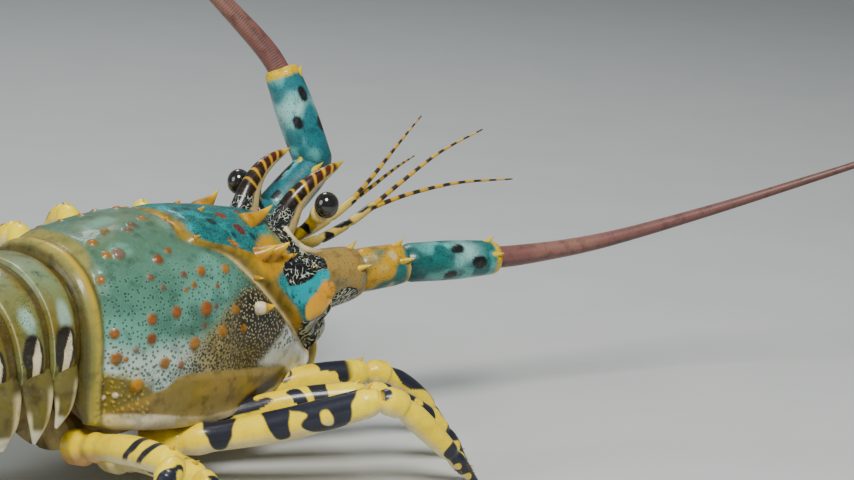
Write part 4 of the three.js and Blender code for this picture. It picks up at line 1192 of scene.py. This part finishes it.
THIGH_SECTIONS = [[0, 6.6, 7.2], [0.1, 6.8, 7.4], [0.17, 5, 5.4], [0.23, 5.4, 6], [0.3, 4.8, 5.4],
                  [0.6, 5.2, 6], [0.94, 5.2, 5.6], [1, 3.6, 4]]
SHIN_SECTIONS = [[0, 3.4, 3.6], [0.07, 5, 5.3], [0.15, 4.9, 5.2], [0.19, 3.8, 4], [0.3, 4.2, 4.7],
                 [0.66, 3.3, 3.6], [0.71, 2.6, 2.8], [0.76, 2.9, 3.1], [1, 1.1, 1.2]]
KNEE_RISE = [3, 2, -2.5, 2, 2]
WALKING_LEGS = [
    (1.02, {"right": [(78, -16, 20), (133, -42, 31), (159, -50, 16), (171, -53, -0.8)],
            "left": [(78, 16, 20), (110, 71, 80), (134, 98, 24), (141, 106, -0.8)]}),
    (1.02, {"right": [(57, -18, 17), (112, -62, 31), (141, -74, 16), (154, -79, -0.8)],
            "left": [(57, 18, 18), (77, 80, 81), (86, 118, 25), (90, 129, -0.8)]}),
    (1.04, {"right": [(37, -20, 15), (95.5, -85, 38.5), (121, -93, 19), (139, -98, -0.8)],
            "left": [(38, 20, 18), (53, 81, 76), (50, 121, 26), (48, 134, -0.8)]}),
    (0.96, {"right": [(21, -21, 16), (13, -79, 25), (8, -98, 12), (6, -106, -0.8)],
            "left": [(21, 21, 18), (17, 82, 62), (4, 120, 25), (-1, 132, -0.8)]}),
    (0.92, {"right": [(5, -20, 22), (-1, -83, 35), (-30, -97, 18), (-42, -103, -0.8)],
            "left": [(5, 20, 20), (-28, 72, 52), (-52, 102, 22), (-60, 112, -0.8)]}),
]
LEG_YELLOW = rgb(255, 228, 96)
LEG_KNEE = rgb(255, 232, 66)
LEG_DARK = rgb(38, 40, 50)
LEG_CREAM = rgb(226, 214, 172)
# Dark patches seen on the third right thigh: corners as (millimetres along, height from -6 to 6)
THIRD_THIGH_DARK = [
    [(22, 9), (38, 9), (34.5, 2), (33, -3), (29.5, -5.5), (26.5, -3), (25.5, 2)],
    [(45, 9), (58, 9), (57.5, 4), (56, 1), (57, -4), (50, -4.5), (48.5, 2)],
    [(54, 9), (88, 9), (81, 3.5), (78.5, -5.5), (70, -6), (62.5, -3.5), (59.5, 0.5), (66, 3.4), (54, 6)],
]
THIRD_THIGH_PALE = [(70.8, 0, 2.5)]
# A range past the end of a piece, which leaves it without the colour of the knee
NO_KNEE = (2, 3)


def paint_leg(skin, seed, knee):
    """Yellow and cream, brighter at the knee, with dark blotches above that hold pale spots."""
    up = np.sin(skin.turn)
    skin.colour(LEG_YELLOW)
    skin.cover(LEG_CREAM, step(0.1, -0.6, up) * 0.9)
    skin.cover(rgb(196, 146, 50), step(0.5, 0.8, skin.noise(6, 90)) * 0.2)
    if seed is not None:
        lumps = skin.noise(10, seed) + 0.16 * up - 0.3 * step(0.2, 0.12, skin.along)
        dark = step(0.56, 0.585, lumps)
        spots = step(0.66, 0.69, skin.noise(5, seed + 1))
        skin.cover(LEG_DARK, dark * (1 - spots))
    skin.cover(LEG_KNEE, step(*knee, skin.along) * step(-0.7, -0.2, up))
    return skin


def paint_third_thigh(skin):
    """The right leg nearest the camera, 91 mm long, with its own patches."""
    along, height = 91 * skin.along, 6 * np.sin(skin.turn)
    paint_leg(skin, None, (0.8, 0.9))
    wobble = 1.2 * (skin.noise(3, 91) - 0.5)
    dark = np.zeros(len(along))
    for outline in THIRD_THIGH_DARK:
        dark = np.maximum(dark, inside(along + wobble, height, outline, 0.35))
    for middle, level, radius in THIRD_THIGH_PALE:
        away = np.hypot(along + wobble - middle, (height - level) * 0.8)
        dark = dark * step(radius - 0.3, radius + 0.3, away)
    skin.cover(LEG_DARK, dark)


def paint_fifth_thigh(skin):
    """The rear right leg: a plain cream root, then two slanting stripes."""
    paint_leg(skin, None, (0.9, 0.96))
    up = np.sin(skin.turn)
    skin.cover(rgb(186, 130, 66), step(0.2, -0.7, up) * step(0.5, 0.2, skin.along) * 0.7)
    for middle in (0.66, 0.79):
        line = np.abs(skin.along - middle - 0.07 * up + 0.03 * skin.noise(4, 92))
        skin.cover(LEG_DARK, step(0.032, 0.022, line) * step(-0.5, -0.2, up))


# Where the bristles of the leg tips stand, and which way they point
TIP_ROOTS, TIP_WAYS = [], []
TIP_BRISTLES = 46


def bristle_tip(skin, sides, rings, seed):
    """Scatters bristle roots over the last piece of a leg, all leaning to its tip."""
    draw = np.random.default_rng(600 + seed)
    ring = draw.integers(int(0.78 * rings), int(0.97 * rings), TIP_BRISTLES)
    spots = skin.points[ring * sides + draw.integers(0, sides, TIP_BRISTLES)]
    centres = np.array([skin.points[r * sides:(r + 1) * sides].mean(0) for r in ring])
    outward = unit(spots - centres)
    standing = spots[:, 2] > 4
    TIP_ROOTS.append((spots - 0.1 * outward)[standing])
    TIP_WAYS.append(unit(outward + 1.1 * unit(skin.points[-1] - centres))[standing])


def make_leg(number, side, word, girth, points):
    """A walking leg in two pieces: the thigh with a spine at the knee, and the shin down to the floor."""
    root, knee, ankle, tip = (np.array(p, float) for p in points)
    flat = unit((knee - root) * vec(1, 1, 0))
    across = np.cross(flat, vec(0, 0, 1))
    rise = 4 if word == "left" else KNEE_RISE[number - 1]
    middle = root + 0.55 * (knee - root) + vec(0, 0, rise)
    scaled = [[share, wide * girth, tall * girth] for share, wide, tall in THIGH_SECTIONS]
    fine = (72, 240) if word == "right" and number in (3, 5) else (56, 190)
    thigh = limb([root, middle, knee], scaled, *fine, across)
    if (number, word) == (3, "right"):
        paint_third_thigh(thigh)
    elif (number, word) == (5, "right"):
        paint_fifth_thigh(thigh)
    else:
        paint_leg(thigh, 100 + 7 * number + side, (0.84, 0.9))
    along = unit(knee - root)
    thorn = spine(root + 0.93 * (knee - root) + vec(0, 0, 4.6 * girth), along + vec(0, 0, 0.7), 4.5, 1.6, 0)
    name = f"leg_{number}_thigh_{word}"
    make_piece(name, [thigh, thorn.colour(SPINE_YELLOW)], leg, "leg", name)
    outward = unit((ankle - knee) * vec(1, 1, 0))
    wrist = knee + 0.22 * (ankle - knee) + 2 * outward + vec(0, 0, 1.5)
    scaled = [[share, wide * girth, tall * girth] for share, wide, tall in SHIN_SECTIONS]
    sides, rings = 44, 190
    shin = limb([knee, wrist, ankle, tip], scaled, sides, rings, across)
    shin.points[:, 2] = np.maximum(shin.points[:, 2], 0)
    paint_leg(shin, 200 + 7 * number + side, NO_KNEE)
    bristle_tip(shin, sides, rings, number)
    name = f"leg_{number}_shin_{word}"
    make_piece(name, [shin], leg, "leg", name)


for number, (girth, points) in enumerate(WALKING_LEGS, 1):
    for side, word in SIDES:
        make_leg(number, side, word, girth, points[word])

FEEDING_PATH = [(92, 10, 22), (108, 11.5, 19), (124, 11, 22), (135, 9, 30), (137, 7.5, 38)]
FEEDING_SECTIONS = [[0, 3.5, 4.5], [0.2, 3.6, 4.6], [0.5, 3.4, 4.2], [0.56, 2.8, 3.2], [0.75, 2.9, 3.2],
                    [0.79, 2.2, 2.4], [1, 1, 1.2]]

for side, word in SIDES:
    feeler = limb(mirrored(side, FEEDING_PATH), FEEDING_SECTIONS, 24, 70)
    paint_leg(feeler, 300 + side, NO_KNEE)
    make_piece("feeding_leg_" + word, [feeler], leg, "leg", "feeding_leg_" + word)


# Abdomen and tail fan

# Joints of the abdomen: x, top, half width, rise above the middle line and drop below it
TAIL_JOINTS = [
    (-0.3, 91, 31, 26, 16), (-15, 91, 31, 26, 16), (-32, 89, 30.5, 25, 15), (-52, 84.5, 29.5, 23, 14),
    (-73, 77, 27.5, 21, 13), (-94, 66, 25, 18.5, 12), (-116, 51, 21, 14, 9),
]
TAIL_ROWS = [(i, *row) for i, row in enumerate(TAIL_JOINTS)]
PLEURON_BREADTH = [11, 13, 17, 18, 18, 16]
PLEURON_LENGTH = [14, 18, 18, 16, 13, 8]
RING_COLUMNS = 140


def tail_frame(at):
    """The abdomen's middle, forward and upward ways and sizes, where at counts joints from the front."""
    x, top, half, rise, drop = profile(TAIL_ROWS, float(at))
    ahead, behind = profile(TAIL_ROWS, max(at - 0.3, 0)), profile(TAIL_ROWS, min(at + 0.3, 6))
    forward = unit(vec(ahead[0] - behind[0], 0, ahead[1] - behind[1])) if at >= 0.02 else vec(1, 0, 0)
    upward = vec(-forward[2], 0, forward[0])
    return vec(x, 0, top) - rise * upward, forward, upward, half, rise, drop


def tail_point(at, back, across, up):
    """A point that far back from a joint, to the left of its middle and above it."""
    centre, forward, upward, *_ = tail_frame(at)
    return centre - back * forward + up * upward + vec(0, across, 0)


def tail_ring(at, swell, back):
    """One closed line round the abdomen: an arch over the back, then down each side and in underneath."""
    centre, forward, upward, half, rise, drop = tail_frame(at)
    angle = np.radians(np.linspace(90, 0, 46))
    below = [[0, half, 0], [0.25, half, -0.4 * drop], [0.45, half - 2.5, -0.85 * drop],
             [0.6, half - 8, -drop], [0.8, 0.4 * half, -drop + 1.5], [1, 0, -drop + 1.5]]
    low_across, low_up = profile(below, np.linspace(0, 1, 26)[1:])
    across = np.concatenate([half * np.cos(angle) ** 0.9, low_across])
    up = np.concatenate([rise * np.sin(angle) ** 0.9, low_up])
    across = np.concatenate([across, -across[-2:0:-1]]) * swell
    up = np.concatenate([up, up[-2:0:-1]])
    up = np.where(up > 0, up * swell, up)
    return centre - back * forward + across[:, None] * vec(0, 1, 0) + up[:, None] * upward


def paint_ring(skin, number):
    """Olive, with an aqua patch on the side that is partly a painted highlight, a black patch with a white
    wedge, and a pale underside.
    """
    along = skin.along
    column = skin.turn * RING_COLUMNS / (2 * math.pi)
    level = np.minimum(column, RING_COLUMNS - column)
    ragged = 0.5 * (skin.noise(4, 403) - 0.5)
    skin.colour(OLIVE)
    skin.cover(rgb(118, 124, 84), step(0.4, 0.7, skin.noise(9, 400 + number)) * 0.7)
    skin.cover(rgb(70, 58, 34), step(0.3, 0.18, along) * 0.8)
    skin.cover(rgb(120, 148, 124), hill(level, 12, 14) * step(2.5, 0, number) * step(0.3, 0.5, along) * 0.6)
    # Pale aqua patch high on each side: partly the ring's own pale colour, partly a painted highlight
    pale_patch_and_highlight = np.hypot((level - 34) / 6, (along - 0.56) / 0.2) + ragged
    skin.cover(rgb(170, 200, 188), step(1.3, 0.5, pale_patch_and_highlight) * 0.7)
    black = np.hypot((level - 47) / 9, (along - 0.6) / 0.3) + ragged
    skin.cover(rgb(34, 30, 22), step(1.1, 0.9, black))
    wedge_width = np.interp(level, [41, 47, 54, 60], [0.02, 0.13, 0.1, 0.02])
    wedge = np.abs(along - 0.52 - 0.012 * (level - 48)) / wedge_width
    skin.cover(BONE, step(1.1, 0.9, wedge) * step(40, 42, level) * step(60, 57, level))
    skin.cover(rgb(176, 174, 138), step(0.94, 0.96, along) * step(0.999, 0.985, along) * 0.85)
    skin.cover(rgb(176, 158, 116), step(58, 62, level) * step(0.3, 0.45, along))
    skin.mark(1, (0.3 + 0.3 * step(0.5, 0.7, skin.noise(6, 410))) * step(60, 50, level))


def make_pleuron(number, side):
    """The side lobe of a ring, which hangs down to a point, with pale edges."""
    _, _, _, half, _, drop = tail_frame(number + 0.5)
    reach = PLEURON_LENGTH[number]
    broad = min(1, PLEURON_BREADTH[number] / 18)
    path = [tail_point(number + 0.5, back, side * out, up) for back, out, up in
            [(-1, half - 5, -0.1 * drop), (0, half - 1.4, -0.75 * drop),
             (1, half - 0.6, -drop - 0.45 * reach), (3.5, half - 1.5, -drop - reach)]]
    blade_rows = [[0, 2, 8], [0.35, 2, 9], [0.7, 1.6, 6.5], [0.9, 1, 3], [1, 0.5, 0.9]]
    plate = limb(path, [[share, thick, wide * broad] for share, thick, wide in blade_rows], 36, 60)
    plate.colour(rgb(104, 98, 62))
    rear = np.sin(plate.turn)
    plate.cover(rgb(60, 50, 28), step(0.5, 0.75, plate.noise(5, 404)) * 0.7)
    ahead_edge = step(0.42, 0.6, -rear) * step(0.35, 0.5, plate.along)
    behind_edge = step(0.7, 0.85, rear) * step(0.55, 0.7, plate.along)
    plate.cover(rgb(214, 204, 166), np.maximum(ahead_edge, behind_edge))
    return plate.cover(rgb(222, 218, 196), step(0.8, 0.88, plate.along))


def make_flap(number, side):
    """A swimming flap under a ring."""
    _, _, _, half, _, drop = tail_frame(number + 0.5)
    path = [tail_point(number + 0.5, back, side * out * half, up - drop) for back, out, up in
            [(0, 0.45, 3), (2, 0.5, -4), (6, 0.52, -10), (10, 0.5, -14)]]
    flap = limb(path, [[0, 2.5, 1.2], [0.3, 4.5, 0.8], [0.7, 5.5, 0.6], [1, 2, 0.4]], 24, 40)
    return flap.colour(rgb(150, 92, 50))


# A ring's swell along it, and how far it is shifted back
RING_SWELLS = [[0, 0.955, 0.3], [0.16, 0.965, 0], [0.32, 1, 0], [0.92, 1.012, 0], [1, 1.008, -0.3]]


def make_ring(number):
    """One ring of the abdomen, with its side lobes, and flaps under the middle ones."""
    shares = np.linspace(0, 1, 40)
    rings = [tail_ring(number + share, swell, back)
             for share, swell, back in zip(shares, *eased(RING_SWELLS, shares))]
    skin = Skin(rings, shares)
    paint_ring(skin, number)
    skins = [skin]
    for side, _ in SIDES:
        skins.append(make_pleuron(number, side))
        if 0 < number < 5:
            skins.append(make_flap(number, side))
    name = f"abdomen_{number + 1}"
    make_piece(name, skins, tail_shell, "tail_shell", name)


for number in range(6):
    make_ring(number)

FAN_LENGTH = 56
BLADE_SHARES = [0, 0.11, 0.22, 0.33, 0.44, 0.56, 0.67, 0.78, 0.86, 0.92, 0.96, 0.985, 1]
BLADE_WIDTHS = [5, 7.2, 9.5, 11.5, 12.8, 13.6, 13.9, 13.6, 12.6, 10.9, 8.7, 5.6, 1.2]
TELSON_WIDTHS = [10.5, 12, 13, 13.8, 14.4, 15, 15.3, 15.1, 14.2, 12.4, 10, 6.5, 1.4]
# Where the bristles of the tail fan's edges stand, and which way they point
FRINGE_ROOTS, FRINGE_WAYS = [], []
FRINGE_GAP = 0.75
BLADE_SIDES, BLADE_RINGS, FRINGE_START = 96, 120, 40


def add_fringe(skin, middle, along, sideways):
    """Bristle roots along a blade's two edges and round its end."""
    rows = BLADE_SIDES * np.arange(FRINGE_START, BLADE_RINGS)
    outline = np.vstack([skin.points[rows], skin.points[(rows + BLADE_SIDES // 2)[::-1]]])
    walked = np.concatenate([[0], np.cumsum(np.linalg.norm(np.diff(outline, axis=0), axis=1))])
    place = np.arange(0, walked[-1], FRINGE_GAP)
    roots = np.stack([np.interp(place, walked, outline[:, k]) for k in range(3)], -1)
    outward = unit(np.cross(np.gradient(roots, axis=0), np.cross(along, sideways)))
    outward *= np.sign(((roots - middle) * outward).sum(1))[:, None]
    FRINGE_ROOTS.append(roots - 0.3 * outward)
    FRINGE_WAYS.append(unit(outward + 0.5 * along))


def blade_ribs(share, angle):
    """Fine ribs along the blade, on its outer half."""
    return 0.22 * np.sin(46 * np.cos(angle)) * step(0.35, 0.5, share) * np.abs(np.sin(angle))


def make_blade(name, root, heading, pitch, roll, length, half_widths, thickness):
    """A blade of the tail fan; heading, pitch and roll are in degrees."""
    turn, drop, lean = np.radians([heading, pitch, roll])
    along = vec(-math.cos(turn) * math.cos(drop), math.sin(turn) * math.cos(drop), -math.sin(drop))
    flat = unit(vec(-along[1], along[0], 0))
    sideways = flat * math.cos(lean) + np.cross(along, flat) * math.sin(lean)
    path = [np.array(root) + along * length * share - vec(0, 0, 3 * share * share) for share in (0, 0.5, 1)]
    sections = [[share, width, thickness * (1.15 - 0.75 * share + 1.9 * math.exp(-9 * share))]
                for share, width in zip(BLADE_SHARES, half_widths)]
    skin = limb(path, sections, BLADE_SIDES, BLADE_RINGS, sideways, blade_ribs, 1.8)
    add_fringe(skin, np.array(root) + along * length * 0.6, along, sideways)
    skin.colour(rgb(120, 96, 46))
    skin.cover(rgb(70, 96, 84), step(0.36, 0.3, skin.along) * 0.9)
    skin.cover(rgb(172, 96, 38), step(0.72, 0.95, skin.along) * 0.8)
    between_ribs = step(0.4, 0.9, np.sin(46 * np.cos(skin.turn))) * step(0.35, 0.5, skin.along)
    skin.cover(rgb(58, 44, 28), between_ribs * 0.5)
    skin.cover(rgb(186, 178, 128), step(0.62, 0.8, skin.noise(5, 501)) * step(0.5, 0.3, skin.along) * 0.7)
    make_piece(name, [skin], tail_shell, "tail_shell", name)


make_blade("telson", (-108, 0, 44), 0, 26, 0, FAN_LENGTH + 2, TELSON_WIDTHS, 1.9)
for side, word in SIDES:
    make_blade("uropod_inner_" + word, (-108, side * 9, 38), side * 22, 24, side * 4, FAN_LENGTH,
               BLADE_WIDTHS, 1.5)
    make_blade("uropod_outer_" + word, (-106, side * 13, 33.5), side * 45, 22, side * 8, FAN_LENGTH,
               [1.1 * width for width in BLADE_WIDTHS], 1.5)


# Bristles


def bristle_material():
    look = Shader("bristle")
    spot = look.millimetres()
    colour = look.mix(rgb(150, 112, 60), rgb(92, 64, 34), look.grain(spot, 3.0).step(0.4, 0.65))
    return look.finish(colour, look.grain(spot, 1.0) * 0.2 + 0.45, Specular_IOR_Level=0.3)


def bristle_tree():
    """Stands a thin tapered bristle on each point, along the point's own way, some longer, some shorter."""
    tree = bpy.data.node_groups.new("bristles", "GeometryNodeTree")
    kinds = {"Points": "Geometry", "Length": "Float", "Root Radius": "Float", "Seed": "Int",
             "Material": "Material"}
    for label, kind in kinds.items():
        tree.interface.new_socket(label, in_out="INPUT", socket_type="NodeSocket" + kind)
    tree.interface.new_socket("Geometry", in_out="OUTPUT", socket_type="NodeSocketGeometry")

    def node(kind, settings, **links):
        made = tree.nodes.new(kind)
        for key, value in settings.items():
            setattr(made, key, value)
        for key, value in links.items():
            label = key.replace("_", " ")
            socket = next(given for given in made.inputs if given.name == label and given.enabled)
            if isinstance(value, bpy.types.NodeSocket):
                tree.links.new(value, socket)
            else:
                socket.default_value = value
        return made

    given = node("NodeGroupInput", {}).outputs
    cone = node("GeometryNodeMeshCone", {}, Vertices=4, Radius_Top=0.0, Radius_Bottom=given["Root Radius"],
                Depth=given["Length"])
    way = node("GeometryNodeInputNamedAttribute", {"data_type": "FLOAT_VECTOR"}, Name="way")
    direction = next(socket for socket in way.outputs if socket.name == "Attribute" and socket.enabled)
    turned = node("FunctionNodeAlignRotationToVector", {"axis": "Z"}, Vector=direction)
    growth = node("FunctionNodeRandomValue", {"data_type": "FLOAT"}, Min=0.6, Max=1.15, Seed=given["Seed"])
    size = next(socket for socket in growth.outputs if socket.enabled)
    stand = node("GeometryNodeInstanceOnPoints", {}, Points=given["Points"], Instance=cone.outputs["Mesh"],
                 Rotation=turned.outputs[0], Scale=size)
    whole = node("GeometryNodeRealizeInstances", {}, Geometry=stand.outputs[0])
    dressed = node("GeometryNodeSetMaterial", {}, Geometry=whole.outputs[0], Material=given["Material"])
    node("NodeGroupOutput", {}, Geometry=dressed.outputs[0])
    return tree


def make_bristles(name, roots, ways, length, radius):
    """Bristles as one plain mesh; lengths in millimetres."""
    mesh = bpy.data.meshes.new(name + "_roots")
    mesh.from_pydata((np.vstack(roots) + ORIGIN) / 1000, [], [])
    layer = mesh.attributes.new("way", "FLOAT_VECTOR", "POINT")
    layer.data.foreach_set("vector", np.vstack(ways).ravel())
    source = bpy.data.objects.new(name + "_roots", mesh)
    bpy.context.scene.collection.objects.link(source)
    modifier = source.modifiers.new("bristles", "NODES")
    modifier.node_group = BRISTLES
    values = {"Length": length / 1000, "Root Radius": radius / 1000, "Seed": 3, "Material": BRISTLE}
    for item in BRISTLES.interface.items_tree:
        if item.in_out == "INPUT" and item.name in values:
            modifier[item.identifier] = values[item.name]
    graph = bpy.context.evaluated_depsgraph_get()
    plain = bpy.data.meshes.new_from_object(source.evaluated_get(graph))
    bpy.data.objects.remove(source)
    piece = bpy.data.objects.new(name, plain)
    bpy.context.scene.collection.objects.link(piece)
    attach(piece, "root")


BRISTLES = bristle_tree()
BRISTLE = bristle_material()
make_bristles("tail_fringe", FRINGE_ROOTS, FRINGE_WAYS, 2.4, 0.16)
make_bristles("leg_bristles", TIP_ROOTS, TIP_WAYS, 1.8, 0.14)


# Floor, light and camera


FLOOR_REACH = 4.0


def make_floor():
    mesh = bpy.data.meshes.new("floor")
    corners = [(x * FLOOR_REACH, y * FLOOR_REACH, 0) for x, y in ((-1, -1), (1, -1), (1, 1), (-1, 1))]
    mesh.from_pydata(corners, [], [(0, 1, 2, 3)])
    floor = bpy.data.objects.new("floor", mesh)
    bpy.context.scene.collection.objects.link(floor)
    look = Shader("floor_paint")
    patchy = look.grain(look.millimetres(), 60.0)
    mesh.materials.append(look.finish(look.mix(rgb(206, 208, 206), rgb(196, 199, 198), patchy), 0.75))


def make_light(name, place, target, size, watts, tone):
    lamp = bpy.data.lights.new(name, "AREA")
    lamp.shape, lamp.size = "DISK", size
    lamp.energy, lamp.color = watts, tone
    thing = bpy.data.objects.new(name, lamp)
    bpy.context.scene.collection.objects.link(thing)
    place, target = Vector(place), Vector(target)
    thing.location = place
    thing.rotation_euler = (target - place).to_track_quat("-Z", "Y").to_euler()


# The camera as fitted to the photo: its axes, its place in the animal's millimetres, and its lens in pixels
CAMERA_BACK = vec(-0.7273508873460136, -0.6449150045053195, 0.23461739841893745)
CAMERA_UP = vec(0.13591082447066918, 0.19973599687001264, 0.9703781630612085)
CAMERA_RIGHT = vec(0.6726729773587382, -0.737692462018046, 0.057627224582520994)
CAMERA_PLACE = vec(-417.7734543317904, -558.678092132607, 268.924447017398)
LENS_PIXELS = 1976.8042685210548
PHOTO_WIDTH = 854
SENSOR_WIDTH = 36


def make_camera():
    eye = (CAMERA_PLACE + ORIGIN) / 1000
    lens = bpy.data.cameras.new("camera")
    lens.sensor_width = SENSOR_WIDTH
    lens.lens = LENS_PIXELS * SENSOR_WIDTH / PHOTO_WIDTH
    lens.clip_start, lens.clip_end = 0.02, 20
    camera = bpy.data.objects.new("camera", lens)
    bpy.context.scene.collection.objects.link(camera)
    axes = (CAMERA_RIGHT, CAMERA_UP, CAMERA_BACK, eye)
    camera.matrix_world = Matrix([[axis[k] for axis in axes] for k in range(3)] + [[0, 0, 0, 1]])
    bpy.context.scene.camera = camera


make_floor()
make_light("key", (-0.55, -0.6, 1.2), (-0.1, 0, 0.06), 0.5, 26, (1.0, 0.97, 0.92))
make_light("fill", (-1.2, 0.3, 0.6), (0, 0, 0.06), 0.8, 7, (0.88, 0.95, 1.0))
make_light("rim", (0.5, 0.9, 1.2), (0, 0, 0.06), 0.4, 5, (0.92, 0.97, 1.0))
world = bpy.data.worlds.new("soft_sky")
world.use_nodes = True
world.node_tree.nodes["Background"].inputs["Color"].default_value = (0.72, 0.78, 0.82, 1)
world.node_tree.nodes["Background"].inputs["Strength"].default_value = 0.3
bpy.context.scene.world = world
make_camera()
